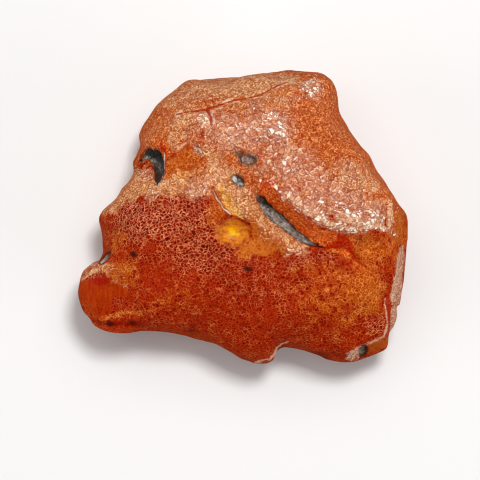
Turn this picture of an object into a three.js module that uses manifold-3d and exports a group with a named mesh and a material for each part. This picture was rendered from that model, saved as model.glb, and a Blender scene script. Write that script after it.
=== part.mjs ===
// A lump of raw amber lying on its back, with dark earthy matter caught in its crevice and pits.
// Millimetres, +Z up. X runs along the lump and Y across it. The origin is under the middle of its
// bounding box, in the plane of the small flat spot that it rests on.

import * as THREE from "three";
import { mergeVertices } from "three/addons/utils/BufferGeometryUtils.js";
import Module from "manifold-3d";

// Driving dimensions
const length = 52;
const breadth = 46.4;
const thickness = 25;

// Worked out from them
const halfLength = length / 2;
const halfBreadth = breadth / 2;
const rimHeight = 0.42 * thickness; // where the lump is widest, above the surface that it lies on

// How finely the lump is faceted: squares along one side of the grid that each face is made on
const gridSquares = 46;
const sectionSamples = 240;
const outlineSamples = 2400;

// Roundness of the section: a high power keeps the middle flat and turns over late, near the rim
const frontPower = 5;
const backPower = 4;
const sidePower = 2.7; // above 2 the sides stand fuller than an ellipse's
const backFlatShare = 0.34; // of the way to the rim, over which the back doesn't yet turn up

// How sharply neighbouring facets meet, per millimetre
const facetSharpness = 1.6;
const flatSpotEase = 0.8; // the rise, in millimetres, over which the flat spot turns into the back

// How the rim's height wanders: waves round the outline, each a share of that height
const rimWaves = [
  { waves: 2, height: 0.13, start: 0.6 },
  { waves: 5, height: 0.08, start: 2 },
];

// Dark matter in the hollows
const fillGap = 0.3; // to the amber round it
const fillSunk = 0.45; // below the amber's surface
const fillShrink = 0.975; // of the lump's own width, so that it is also sunk where the surface is steep

// The outline seen from above, counter-clockwise from the right-hand corner. Each point is a share of the
// half length and a share of the half breadth.
const outline = [
  [1, -0.017], [0.98, 0.044], [0.933, 0.104], [0.892, 0.188], [0.838, 0.286], [0.798, 0.362],
  [0.764, 0.43], [0.703, 0.498], [0.636, 0.619], [0.588, 0.717], [0.575, 0.808], [0.557, 0.884],
  [0.528, 0.944], [0.474, 0.982], [0.379, 1], [0.271, 1], [0.163, 0.982], [0.055, 0.964],
  [-0.08, 0.959], [-0.215, 0.949], [-0.323, 0.929], [-0.417, 0.868], [-0.498, 0.793], [-0.559, 0.717],
  [-0.606, 0.626], [-0.63, 0.558], [-0.622, 0.49], [-0.64, 0.43], [-0.663, 0.377], [-0.66, 0.301],
  [-0.68, 0.241], [-0.727, 0.188], [-0.761, 0.135], [-0.802, 0.089], [-0.849, 0.036], [-0.869, -0.017],
  [-0.865, -0.092], [-0.856, -0.183], [-0.849, -0.244], [-0.876, -0.297], [-0.923, -0.319], [-0.97, -0.365],
  [-0.991, -0.425], [-1, -0.486], [-0.995, -0.561], [-0.97, -0.637], [-0.93, -0.69], [-0.903, -0.735],
  [-0.849, -0.77], [-0.781, -0.788], [-0.687, -0.791], [-0.592, -0.776], [-0.471, -0.781], [-0.377, -0.806],
  [-0.296, -0.826], [-0.215, -0.852], [-0.134, -0.887], [-0.053, -0.932], [0.028, -0.977], [0.082, -1],
  [0.15, -0.997], [0.188, -0.97], [0.204, -0.924], [0.244, -0.894], [0.298, -0.894], [0.379, -0.909],
  [0.447, -0.939], [0.514, -0.97], [0.595, -0.992], [0.676, -0.988], [0.744, -0.962], [0.811, -0.939],
  [0.872, -0.909], [0.892, -0.864], [0.899, -0.796], [0.926, -0.75], [0.946, -0.682], [0.943, -0.614],
  [0.96, -0.592], [0.973, -0.47], [0.987, -0.349], [0.997, -0.228], [1, -0.123],
];

// Facets: a place in shares, the height there as a share of the thickness, and the slopes along X and Y.
// The front is the lowest of its facets at each place, and the back the highest of its own.
const frontFacets = [
  [-0.1, -0.03, 0.866, 0.03, 0.19], // broad lower face
  [-0.21, 0.33, 0.876, -0.03, 0.02], // upper plateau
  [-0.08, 0.79, 0.89, 0.2, -0.51], // strip along the top edge
  [-0.54, 0.6, 0.79, 0.64, -0.48], // upper left shoulder
  [0.65, 0.47, 0.86, -0.64, -0.4], // long side at the upper right
  [0.86, -0.09, 0.84, -1.0, 0.0], // right side
  [-0.73, 0.0, 0.77, 0.55, -0.05], // left side
  [-0.85, -0.65, 0.62, 0.48, 0.36], // lower left
  [-0.15, -0.75, 0.7, 0.06, 0.6], // bottom edge
  [0.73, -0.73, 0.74, -0.36, 0.48], // lower right corner
];
const backFacets = [
  [0.36, 0.08, 0.03, 0.17, 0.03],
  [0.16, 0.36, 0.03, 0.06, 0.24],
  [-0.16, 0.32, 0.03, -0.12, 0.2],
  [-0.34, 0.0, 0.03, -0.18, 0.02],
  [-0.28, -0.34, 0.03, -0.13, -0.16],
  [0.06, -0.42, 0.03, 0.02, -0.26],
  [0.34, -0.34, 0.03, 0.16, -0.16],
];

// Steps: the surface changes by height over width, on the left of a path. Grooves: it changes by height
// along the path itself. Each point is two shares, then the height and the width in millimetres.
const frontSteps = [
  // the upper right lobe stands over the crevice
  [
    [-0.08, 0.5, 0, 3], [0.02, 0.3, 0.9, 2.6], [0.09, 0.13, 2.1, 2.6], [0.178, 0.022, 2.4, 3.1],
    [0.252, -0.05, 2.5, 3.3], [0.331, -0.122, 2.5, 3.3], [0.41, -0.175, 2.4, 3.3],
    [0.487, -0.206, 2.3, 3.4], [0.617, -0.236, 2.1, 3.6], [0.753, -0.352, 1.7, 6.5],
    [0.89, -0.455, 0.7, 8], [0.987, -0.531, 0, 8],
  ],
  // the crust breaks off above a lower ledge, along the right and lower right edges
  [
    [0.939, -0.062, 0, 0.7], [0.93, -0.228, -2, 0.7], [0.912, -0.37, -3, 0.6], [0.9, -0.47, -3.3, 0.6],
    [0.872, -0.56, -3.4, 0.6], [0.87, -0.64, -3.4, 0.6], [0.876, -0.76, -3.4, 0.6],
    [0.851, -0.81, -3.4, 0.6], [0.802, -0.841, -3.4, 0.6], [0.746, -0.859, -3.3, 0.6],
    [0.708, -0.876, -3.2, 0.6], [0.64, -0.907, -2.8, 0.6], [0.52, -0.91, -2.4, 0.7],
    [0.406, -0.9, -2, 0.7], [0.28, -0.86, -1.6, 0.6], [0.243, -0.872, -1.5, 0.6],
    [0.215, -0.897, -1.2, 0.6], [0.19, -0.952, 0, 0.6],
  ],
  // cliff over the left pocket
  [
    [-0.54, 0.16, 0, 1], [-0.508, 0.216, -1, 0.7], [-0.481, 0.274, -1.9, 0.6], [-0.472, 0.36, -2.2, 0.5],
    [-0.476, 0.436, -2, 0.6], [-0.53, 0.48, -1.2, 0.7], [-0.6, 0.51, 0, 1],
  ],
  // shelf under the lobe at the lower left
  [
    [-0.444, -0.758, 0, 0.6], [-0.538, -0.728, -1.4, 0.6], [-0.646, -0.705, -2.2, 0.6],
    [-0.781, -0.705, -2.4, 0.6], [-0.903, -0.697, -2, 0.6], [-0.97, -0.652, 0, 0.6],
  ],
];
const frontGrooves = [
  // crack under the top strip, with its short branch
  [
    [-0.397, 0.694, -0.1, 0.3], [-0.296, 0.71, -0.5, 0.35], [-0.215, 0.732, -0.8, 0.45],
    [-0.161, 0.755, -0.7, 0.4], [-0.08, 0.788, -0.6, 0.4], [0.028, 0.808, -0.5, 0.4],
    [0.123, 0.831, -0.5, 0.5], [0.204, 0.876, -0.4, 0.6], [0.278, 0.914, -0.1, 0.6],
  ],
  [[-0.208, 0.732, -0.7, 0.4], [-0.195, 0.68, -0.6, 0.4], [-0.181, 0.619, 0, 0.3]],
  // valley that runs in from the left edge and holds the pocket
  [
    [-0.72, 0.346, -1.8, 2.2], [-0.592, 0.346, -1.4, 1.9], [-0.5, 0.35, -0.6, 1.6], [-0.4, 0.37, 0, 1.6],
  ],
  // dip that the crevice runs in, and the crease beyond its end
  [
    [0.1, 0.11, -0.6, 1.2], [0.252, -0.05, -0.9, 1.3], [0.39, -0.16, -0.7, 1.1], [0.5, -0.21, 0, 0.9],
  ],
  [
    [0.487, -0.206, 0, 0.7], [0.617, -0.236, -0.8, 0.7], [0.67, -0.272, -0.7, 0.7],
    [0.753, -0.352, -0.5, 0.7], [0.8, -0.385, 0, 0.7],
  ],
  // nick in the left edge, over the lower left lobe
  [[-0.9, -0.27, -1.8, 1.1], [-0.835, -0.271, -1.3, 1], [-0.75, -0.26, 0, 0.8]],
  // notch in the bottom edge
  [[0.21, -0.96, -2.4, 0.9], [0.224, -0.9, -1.2, 0.8], [0.235, -0.85, 0, 0.7]],
];
const backSteps = [
  [
    [0.75, 0.4, 0, 1.2], [0.45, 0.24, 0.9, 1.2], [0.4, -0.05, 1.3, 1.2], [0.5, -0.35, 1.1, 1.2],
    [0.62, -0.75, 0, 1.2],
  ],
];
const backGrooves = [
  [[-0.7, 0.25, 1.4, 1.2], [-0.45, 0.36, 1.1, 1], [-0.2, 0.62, 0.9, 0.9], [-0.1, 0.85, 1.2, 1]],
  [[-0.62, -0.62, 1.2, 1.1], [-0.34, -0.5, 0.7, 0.9], [-0.2, -0.72, 0.9, 1]],
];

// Bowls have a sharp edge and swells have none. Two shares for the place, then the two radii in
// millimetres, the turn of the first radius from X in degrees, and the height.
const frontBowls = [
  [-0.055, -0.097, 3.3, 2.5, 10, -1.2], // clear chip
  [-0.09, 0.092, 3.1, 1.4, -47, -1.1], // its upper facet
  [-0.336, 0.4, 3.4, 2.6, 10, -1], // recess right of the pocket
  [-0.9, -0.55, 3.4, 3.8, 0, -0.35], // worn face of the lower left lobe
  [0.032, -0.349, 0.7, 0.5, -20, -0.4], // brown spot
  [-0.667, -0.253, 0.6, 0.6, 0, -0.5], // pin hole
];
const frontSwells = [
  [0.19, 0.604, 5, 3.2, -20, 0.8], // crest of the upper right lobe
  [0.42, 0.86, 3.6, 3, 30, 1], // knob at its top
  [-0.24, 0.66, 3, 2, 0, 0.8],
  [0.5, 0.28, 5, 4, 0, -0.6],
  [0.62, -0.0, 6, 2.2, -12, 0.7], // lip above the slope
  [0.3, 0.1, 3.4, 1.8, -40, 0.5],
  [-0.32, 0.17, 5.5, 1.8, 4, 0.9], // brow over the lower face
  [0.14, -0.08, 1.2, 7, 52, 0.8], // band beside the crevice
  [-0.4, -0.35, 7, 5, 0, -0.5],
  [0.3, -0.6, 6, 4, 0, 0.4],
  [0.12, -0.93, 3, 2.2, 0, 0.8],
];
const backBowls = [
  [0.62, 0.3, 3.4, 2.4, 30, 1.1],
  [-0.5, -0.1, 2.6, 3.6, 20, 0.9],
  [0.2, -0.72, 2.6, 1.6, -10, 1.1],
];
const backSwells = [
  [0.1, 0.7, 4, 3, 0, -0.9],
  [-0.62, 0.1, 3, 4, 0, -0.8],
  [0.72, -0.15, 3, 4, 0, -0.9],
];

// Slow unevenness of the whole surface: waves along a direction, with length and height in millimetres
const unevenWaves = [
  { along: [0.9, 0.3, 0.2], waveLength: 13, height: 0.28, start: 0.4 },
  { along: [-0.4, 0.8, 0.3], waveLength: 10, height: 0.24, start: 1.9 },
  { along: [0.5, -0.6, 0.7], waveLength: 7.5, height: 0.18, start: 3.1 },
  { along: [0.7, 0.7, -0.5], waveLength: 5.6, height: 0.13, start: 5.2 },
];

// The crevice: two shares, then half its width in millimetres
const crevice = [
  [0.08, 0.14, 0.45], [0.104, 0.1, 0.72], [0.178, 0.022, 0.85], [0.252, -0.05, 0.72], [0.331, -0.122, 0.6],
  [0.39, -0.16, 0.48], [0.445, -0.19, 0.25], [0.487, -0.206, 0.12],
];
const creviceFloor = 0.71; // share of the thickness

// Pits that hold dark matter: a place in shares, two radii in millimetres, a turn in degrees and the
// height of the floor as a share of the thickness
const pits = {
  left_pocket_fill: { at: [-0.53, 0.355], radii: [1.5, 2.9], turn: 20, floor: 0.52 },
  upper_pit_fill: { at: [0.028, 0.39], radii: [1.5, 0.75], turn: -15, floor: 0.78 },
  middle_pit_fill: { at: [-0.02, 0.238], radii: [0.8, 1.35], turn: 38, floor: 0.74 },
  edge_pit_fill: { at: [-0.835, -0.272], radii: [1.3, 0.75], turn: 49, floor: 0.42 },
  corner_pit_fill: { at: [0.73, -0.91], radii: [0.75, 1.1], turn: -10, floor: 0.36 },
};

const wasm = await Module();
wasm.setup();

const amberFinish = new THREE.MeshStandardMaterial({ color: 0x9c3410, roughness: 0.35, metalness: 0 });
const fillFinish = new THREE.MeshStandardMaterial({ color: 0x2c3032, roughness: 0.75, metalness: 0 });

const inMillimetres = ([x, y]) => [x * halfLength, y * halfBreadth];
const degrees = THREE.MathUtils.degToRad;

// A path's points in millimetres, each with the numbers that follow its two shares.
const laidOut = (path) => path.map(([x, y, ...rest]) => [...inMillimetres([x, y]), ...rest]);

// 0 below 0 and 1 above 1, with no kink.
function eased(share) {
  const held = Math.min(Math.max(share, 0), 1);
  return held * held * (3 - 2 * held);
}

// The lowest (sign 1) or highest (sign -1) of the facets at a place, with rounded meetings.
function facetHeight(facets, x, y, sign) {
  let sum = 0;
  for (const [shareX, shareY, height, slopeX, slopeY] of facets) {
    const [atX, atY] = inMillimetres([shareX, shareY]);
    const z = height * thickness + slopeX * (x - atX) + slopeY * (y - atY);
    sum += Math.exp(-sign * facetSharpness * z);
  }
  return (-sign * Math.log(sum)) / facetSharpness;
}

// The nearest stretch of a path: the distance from it, positive on its left, and its height and width there.
function nearest(path, x, y) {
  let found = { gap: Infinity };
  for (let i = 1; i < path.length; i++) {
    const [ax, ay, ah, aw] = path[i - 1];
    const [bx, by, bh, bw] = path[i];
    const [dx, dy] = [bx - ax, by - ay];
    const along = ((x - ax) * dx + (y - ay) * dy) / (dx * dx + dy * dy);
    const share = Math.min(Math.max(along, 0), 1);
    const [gx, gy] = [x - ax - share * dx, y - ay - share * dy];
    const gap = Math.hypot(gx, gy);
    if (gap < found.gap) {
      const side = dx * gy - dy * gx < 0 ? -1 : 1;
      found = { gap, distance: side * gap, height: ah + share * (bh - ah), width: aw + share * (bw - aw) };
    }
  }
  return found;
}

// How far a place is from a spot's middle, where 1 is the spot's edge.
function spotDistance([shareX, shareY, radiusA, radiusB, turn], x, y) {
  const [atX, atY] = inMillimetres([shareX, shareY]);
  const [cos, sin] = [Math.cos(degrees(turn)), Math.sin(degrees(turn))];
  const a = (x - atX) * cos + (y - atY) * sin;
  const b = (y - atY) * cos - (x - atX) * sin;
  return Math.hypot(a / radiusA, b / radiusB);
}

// What steps, grooves, bowls and swells add to the height at a place.
function reliefHeight({ steps, grooves, bowls, swells }, x, y) {
  let z = 0;
  for (const path of steps) {
    const { distance, height, width } = nearest(path, x, y);
    const share = THREE.MathUtils.clamp(distance / width, 0, 1);
    z += (height * share * share * (3 - share)) / 2; // eased at the path, sharp at its end
  }
  for (const path of grooves) {
    const { gap, height, width } = nearest(path, x, y);
    z += height * Math.exp(-((gap / width) ** 2));
  }
  for (const bowl of bowls) z += bowl[5] * Math.max(1 - spotDistance(bowl, x, y) ** 2, 0);
  for (const swell of swells) z += swell[5] * Math.exp(-(spotDistance(swell, x, y) ** 2));
  return z;
}

const frontRelief = {
  steps: frontSteps.map(laidOut),
  grooves: frontGrooves.map(laidOut),
  bowls: frontBowls,
  swells: frontSwells,
};
const backRelief = {
  steps: backSteps.map(laidOut),
  grooves: backGrooves.map(laidOut),
  bowls: backBowls,
  swells: backSwells,
};

const frontHeight = (x, y) => facetHeight(frontFacets, x, y, 1) + reliefHeight(frontRelief, x, y);

// The back is dead flat where it would dip below the surface that it lies on.
function backHeight(x, y) {
  const z = facetHeight(backFacets, x, y, -1);
  const rise = Math.max(z, 0);
  const settled = rise < flatSpotEase ? (rise * rise) / (2 * flatSpotEase) : rise - flatSpotEase / 2;
  return settled + reliefHeight(backRelief, x, y) * eased(rise / (2 * flatSpotEase));
}

// Sum of the waves at a point.
function unevenness(x, y, z) {
  let sum = 0;
  for (const { along, waveLength, height, start } of unevenWaves) {
    const travelled = (x * along[0] + y * along[1] + z * along[2]) / Math.hypot(...along);
    sum += height * Math.sin((2 * Math.PI * travelled) / waveLength + start);
  }
  return sum;
}

// The section from the middle to the rim, in even steps along its rounded profile: how far out, as a
// share of the way to the rim, and how much of the height is left there.
function section(power, flatShare) {
  const samples = [];
  let run = 0;
  for (let i = 0; i <= sectionSamples; i++) {
    const out = Math.sin((i / sectionSamples) * (Math.PI / 2));
    const left = (1 - Math.max((out - flatShare) / (1 - flatShare), 0) ** power) ** (1 / sidePower);
    const last = samples.at(-1) ?? { out, left };
    run += Math.hypot((out - last.out) * halfBreadth, (left - last.left) * rimHeight);
    samples.push({ out, left, run });
  }
  return (share) => {
    const target = share * run;
    const i = Math.max(samples.findIndex((s) => s.run >= target), 1);
    const [a, b] = [samples[i - 1], samples[i]];
    const between = (target - a.run) / (b.run - a.run);
    return { out: a.out + between * (b.out - a.out), left: a.left + between * (b.left - a.left) };
  };
}

const rim = new THREE.CatmullRomCurve3(
  outline.map((point) => new THREE.Vector3(...inMillimetres(point), 0)),
  true,
  "catmullrom",
  0.5,
);
rim.arcLengthDivisions = outlineSamples;

// Where a square's edge point lies along the outline, from 0 to 1 counter-clockwise from the right.
function alongOutline(u, v) {
  if (Math.abs(u) >= Math.abs(v)) return u > 0 ? (v / u / 8 + 1) % 1 : 0.5 + v / u / 8;
  return v > 0 ? 0.25 - u / v / 8 : 0.75 - u / v / 8;
}

// How high the rim is at a place along the outline.
function rimHeightAt(share) {
  let z = rimHeight;
  for (const { waves, height, start } of rimWaves) {
    z += rimHeight * height * Math.sin(2 * Math.PI * waves * share + start);
  }
  return z;
}

// One point of the surface: u and v run from -1 to 1 over the square grid of a face, whose rings become
// smaller copies of the outline.
function surfacePoint(u, v, front, sectionAt) {
  const share = alongOutline(u, v) || 0;
  const { out, left } = sectionAt(Math.max(Math.abs(u), Math.abs(v)));
  const edge = rim.getPointAt(share);
  const [x, y] = [edge.x * out, edge.y * out];
  const base = rimHeightAt(share);
  const height = front ? frontHeight(x, y) : backHeight(x, y);
  const z = base + (height - base) * left;
  const outward = new THREE.Vector3(x / halfLength ** 2, y / halfBreadth ** 2, (z - base) / rimHeight ** 2);
  const kept = front ? 1 : eased(height / flatSpotEase / 2 + out ** 4);
  const uneven = kept * (unevenness(x, y, z) - out ** 8 * unevenness(x, y, base)); // none on the rim itself
  return new THREE.Vector3(x, y, z).addScaledVector(outward.normalize(), uneven);
}

// The whole lump as one closed geometry, brought to the driving dimensions.
function lumpGeometry() {
  const positions = [];
  for (const front of [true, false]) {
    const sectionAt = front ? section(frontPower, 0) : section(backPower, backFlatShare);
    const at = (i, j) =>
      surfacePoint((2 * i) / gridSquares - 1, (2 * j) / gridSquares - 1, front, sectionAt);
    const grid = Array.from({ length: gridSquares + 1 }, (_, i) =>
      Array.from({ length: gridSquares + 1 }, (_, j) => at(i, j)),
    );
    for (let i = 0; i < gridSquares; i++) {
      for (let j = 0; j < gridSquares; j++) {
        const square = [grid[i][j], grid[i + 1][j], grid[i + 1][j + 1], grid[i][j + 1]];
        const towardsCorner = (2 * i + 1 - gridSquares) * (2 * j + 1 - gridSquares) > 0;
        const cut = towardsCorner ? [0, 1, 2, 0, 2, 3] : [0, 1, 3, 1, 2, 3];
        const corners = front ? cut : cut.reverse();
        for (const corner of corners) positions.push(...square[corner].toArray());
      }
    }
  }
  const soup = new THREE.BufferGeometry();
  soup.setAttribute("position", new THREE.Float32BufferAttribute(positions, 3));
  soup.computeBoundingBox();
  const size = soup.boundingBox.getSize(new THREE.Vector3());
  const middle = soup.boundingBox.getCenter(new THREE.Vector3());
  soup.translate(-middle.x, -middle.y, -soup.boundingBox.min.z);
  soup.scale(length / size.x, breadth / size.y, thickness / size.z);
  return mergeVertices(soup, 1e-4);
}

// A closed geometry as a manifold-3d solid, and back.
function toSolid(geometry) {
  const bare = geometry.clone();
  for (const name of ["normal", "uv"]) bare.deleteAttribute(name);
  const merged = mergeVertices(bare, 1e-4);
  return new wasm.Manifold(
    new wasm.Mesh({
      numProp: 3,
      vertProperties: merged.attributes.position.array,
      triVerts: new Uint32Array(merged.index.array),
    }),
  );
}

function toGeometry(solid) {
  const { vertProperties, triVerts } = solid.getMesh();
  const geometry = new THREE.BufferGeometry();
  geometry.setAttribute("position", new THREE.BufferAttribute(vertProperties, 3));
  geometry.setIndex(new THREE.BufferAttribute(triVerts, 1));
  geometry.computeVertexNormals();
  return geometry;
}

// A shape seen from above, as a solid that reaches from a floor up past the lump.
function column(shape, floor) {
  const geometry = new THREE.ExtrudeGeometry(shape, {
    depth: thickness + 1 - floor,
    bevelEnabled: false,
    curveSegments: 5,
  });
  return toSolid(geometry.translate(0, 0, floor));
}

// The crevice's outline: its path, offset to both sides by its half width less a gap.
function creviceShape(gap) {
  const path = laidOut(crevice);
  const sides = { left: [], right: [] };
  path.forEach(([x, y, half], i) => {
    const [ax, ay] = path[Math.max(i - 1, 0)];
    const [bx, by] = path[Math.min(i + 1, path.length - 1)];
    const across = new THREE.Vector2(ay - by, bx - ax).setLength(Math.max(half - gap, 0.1));
    sides.left.push(new THREE.Vector2(x, y).add(across));
    sides.right.push(new THREE.Vector2(x, y).sub(across));
  });
  const [tip, tail] = [sides.right[0], sides.left.at(-1)];
  const inwards = new THREE.Vector2().subVectors(tail, tip).setLength(gap);
  tip.add(inwards);
  sides.left[0].add(inwards);
  tail.sub(inwards);
  sides.right.at(-1).sub(inwards);
  return new THREE.Shape([...sides.right, ...sides.left.reverse()]);
}

function pitShape({ at, radii, turn }, gap) {
  const [x, y] = inMillimetres(at);
  const shape = new THREE.Shape();
  shape.absellipse(x, y, radii[0] - gap, radii[1] - gap, 0, 2 * Math.PI, false, degrees(turn));
  return shape;
}

const hollows = {
  crevice_fill: { shape: creviceShape, floor: creviceFloor * thickness },
};
for (const [name, pit] of Object.entries(pits)) {
  hollows[name] = { shape: (gap) => pitShape(pit, gap), floor: pit.floor * thickness };
}

const lump = toSolid(lumpGeometry());
const sunkLump = lump.scale([fillShrink, fillShrink, 1]).translate([0, 0, -fillSunk]);

const group = new THREE.Group();
let amber = lump;
for (const [name, { shape, floor }] of Object.entries(hollows)) {
  amber = amber.subtract(column(shape(0), floor));
  const fill = sunkLump.intersect(column(shape(fillGap), floor + fillGap));
  const mesh = new THREE.Mesh(toGeometry(fill), fillFinish);
  mesh.name = name;
  group.add(mesh);
}
const amberMesh = new THREE.Mesh(toGeometry(amber), amberFinish);
amberMesh.name = "amber";
group.add(amberMesh);

export default group;
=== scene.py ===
import itertools
import math

import bpy
import numpy as np
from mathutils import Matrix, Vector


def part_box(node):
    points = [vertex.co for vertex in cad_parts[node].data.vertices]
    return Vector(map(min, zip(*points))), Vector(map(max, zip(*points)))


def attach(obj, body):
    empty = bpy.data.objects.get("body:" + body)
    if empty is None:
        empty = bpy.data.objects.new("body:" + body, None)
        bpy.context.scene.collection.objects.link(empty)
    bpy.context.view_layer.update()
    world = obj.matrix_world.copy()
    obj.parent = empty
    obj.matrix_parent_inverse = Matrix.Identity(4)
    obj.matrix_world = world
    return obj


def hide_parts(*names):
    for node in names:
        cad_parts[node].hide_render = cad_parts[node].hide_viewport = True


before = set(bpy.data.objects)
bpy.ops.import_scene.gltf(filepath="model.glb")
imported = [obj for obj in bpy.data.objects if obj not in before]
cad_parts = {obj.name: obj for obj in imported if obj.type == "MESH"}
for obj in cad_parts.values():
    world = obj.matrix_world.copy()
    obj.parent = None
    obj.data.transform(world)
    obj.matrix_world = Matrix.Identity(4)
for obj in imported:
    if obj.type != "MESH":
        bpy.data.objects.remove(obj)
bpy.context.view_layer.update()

print("frame loaded:", sorted(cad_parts))

# The lump lies on its back at the origin, X along it, Y across it, with its cracked face up.
# Shapes are worked out in millimetres. A place is a share of the half length and of the half breadth.
mm = 0.001
low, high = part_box("amber")
halfLength = (high.x - low.x) / 2 / mm
halfBreadth = (high.y - low.y) / 2 / mm
thickness = (high.z - low.z) / mm
rimHeight = 0.42 * thickness

lump = {
    "squares": 220,  # along one side of the grid on each face
    "frontPower": 5,  # roundness of the section: a high power turns over late, near the rim
    "backPower": 4,
    "sidePower": 2.7,
    "backFlatShare": 0.34,
    "facetSharpness": 1.6,  # per mm
    "flatSpotEase": 0.8,  # mm
    "sectionSamples": 240,
    "rimSteps": 30,  # between two points of the outline
    "rimWaves": [(0.13, 2, 0.6), (0.08, 5, 2)],  # share of the rim's height, waves round the outline, start
}

outline = [
    (1, -0.017), (0.98, 0.044), (0.933, 0.104), (0.892, 0.188), (0.838, 0.286), (0.798, 0.362),
    (0.764, 0.43), (0.703, 0.498), (0.636, 0.619), (0.588, 0.717), (0.575, 0.808), (0.557, 0.884),
    (0.528, 0.944), (0.474, 0.982), (0.379, 1), (0.271, 1), (0.163, 0.982), (0.055, 0.964),
    (-0.08, 0.959), (-0.215, 0.949), (-0.323, 0.929), (-0.417, 0.868), (-0.498, 0.793), (-0.559, 0.717),
    (-0.606, 0.626), (-0.63, 0.558), (-0.622, 0.49), (-0.64, 0.43), (-0.663, 0.377), (-0.66, 0.301),
    (-0.68, 0.241), (-0.727, 0.188), (-0.761, 0.135), (-0.802, 0.089), (-0.849, 0.036), (-0.869, -0.017),
    (-0.865, -0.092), (-0.856, -0.183), (-0.849, -0.244), (-0.876, -0.297), (-0.923, -0.319),
    (-0.97, -0.365), (-0.991, -0.425), (-1, -0.486), (-0.995, -0.561), (-0.97, -0.637), (-0.93, -0.69),
    (-0.903, -0.735), (-0.849, -0.77), (-0.781, -0.788), (-0.687, -0.791), (-0.592, -0.776),
    (-0.471, -0.781), (-0.377, -0.806), (-0.296, -0.826), (-0.215, -0.852), (-0.134, -0.887),
    (-0.053, -0.932), (0.028, -0.977), (0.082, -1), (0.15, -0.997), (0.188, -0.97), (0.204, -0.924),
    (0.244, -0.894), (0.298, -0.894), (0.379, -0.909), (0.447, -0.939), (0.514, -0.97), (0.595, -0.992),
    (0.676, -0.988), (0.744, -0.962), (0.811, -0.939), (0.872, -0.909), (0.892, -0.864), (0.899, -0.796),
    (0.926, -0.75), (0.946, -0.682), (0.943, -0.614), (0.96, -0.592), (0.973, -0.47), (0.987, -0.349),
    (0.997, -0.228), (1, -0.123),
]

# Facets: place, height as a share of the thickness, slopes along X and Y
frontFacets = [
    (-0.1, -0.03, 0.866, 0.03, 0.19),  # broad lower face
    (-0.21, 0.33, 0.876, -0.03, 0.02),  # upper plateau
    (-0.08, 0.79, 0.89, 0.2, -0.51),  # strip along the top edge
    (-0.54, 0.6, 0.79, 0.64, -0.48),  # upper left shoulder
    (0.65, 0.47, 0.86, -0.64, -0.4),  # long side at the upper right
    (0.86, -0.09, 0.84, -1, 0),  # right side
    (-0.73, 0, 0.77, 0.55, -0.05),  # left side
    (-0.85, -0.65, 0.62, 0.48, 0.36),  # lower left
    (-0.15, -0.75, 0.7, 0.06, 0.6),  # bottom edge
    (0.73, -0.73, 0.74, -0.36, 0.48),  # lower right corner
]
backFacets = [
    (0.36, 0.08, 0.03, 0.17, 0.03),
    (0.16, 0.36, 0.03, 0.06, 0.24),
    (-0.16, 0.32, 0.03, -0.12, 0.2),
    (-0.34, 0, 0.03, -0.18, 0.02),
    (-0.28, -0.34, 0.03, -0.13, -0.16),
    (0.06, -0.42, 0.03, 0.02, -0.26),
    (0.34, -0.34, 0.03, 0.16, -0.16),
]

# Paths: place, then height and width in mm. A step raises what lies on the path's left.
frontSteps = [
    [  # the upper right lobe stands over the crevice
        (-0.08, 0.5, 0, 3), (0.02, 0.3, 0.9, 2.6), (0.09, 0.13, 2.1, 2.6), (0.178, 0.022, 2.4, 3.1),
        (0.252, -0.05, 2.5, 3.3), (0.331, -0.122, 2.5, 3.3), (0.41, -0.175, 2.4, 3.3),
        (0.487, -0.206, 2.3, 3.4), (0.617, -0.236, 2.1, 3.6), (0.753, -0.352, 1.7, 6.5),
        (0.89, -0.455, 0.7, 8), (0.987, -0.531, 0, 8),
    ],
    [  # the crust breaks off above a lower ledge
        (0.939, -0.062, 0, 0.7), (0.93, -0.228, -2, 0.7), (0.912, -0.37, -3, 0.6), (0.9, -0.47, -3.3, 0.6),
        (0.872, -0.56, -3.4, 0.6), (0.87, -0.64, -3.4, 0.6), (0.876, -0.76, -3.4, 0.6),
        (0.851, -0.81, -3.4, 0.6), (0.802, -0.841, -3.4, 0.6), (0.746, -0.859, -3.3, 0.6),
        (0.708, -0.876, -3.2, 0.6), (0.64, -0.907, -2.8, 0.6), (0.52, -0.91, -2.4, 0.7),
        (0.406, -0.9, -2, 0.7), (0.28, -0.86, -1.6, 0.6), (0.243, -0.872, -1.5, 0.6),
        (0.215, -0.897, -1.2, 0.6), (0.19, -0.952, 0, 0.6),
    ],
    [  # cliff over the pocket
        (-0.54, 0.16, 0, 1), (-0.508, 0.216, -1, 0.7), (-0.481, 0.274, -1.9, 0.6),
        (-0.472, 0.36, -2.2, 0.5), (-0.476, 0.436, -2, 0.6), (-0.53, 0.48, -1.2, 0.7), (-0.6, 0.51, 0, 1),
    ],
    [  # shelf under the lobe at the lower left
        (-0.444, -0.758, 0, 0.6), (-0.538, -0.728, -1.4, 0.6), (-0.646, -0.705, -2.2, 0.6),
        (-0.781, -0.705, -2.4, 0.6), (-0.903, -0.697, -2, 0.6), (-0.97, -0.652, 0, 0.6),
    ],
]
stripCrack = [
    (-0.397, 0.694, -0.1, 0.3), (-0.296, 0.71, -0.5, 0.35), (-0.215, 0.732, -0.8, 0.45),
    (-0.161, 0.755, -0.7, 0.4), (-0.08, 0.788, -0.6, 0.4), (0.028, 0.808, -0.5, 0.4),
    (0.123, 0.831, -0.5, 0.5), (0.204, 0.876, -0.4, 0.6), (0.278, 0.914, -0.1, 0.6),
]
crackBranch = [(-0.208, 0.732, -0.7, 0.4), (-0.195, 0.68, -0.6, 0.4), (-0.181, 0.619, 0, 0.3)]
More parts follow.
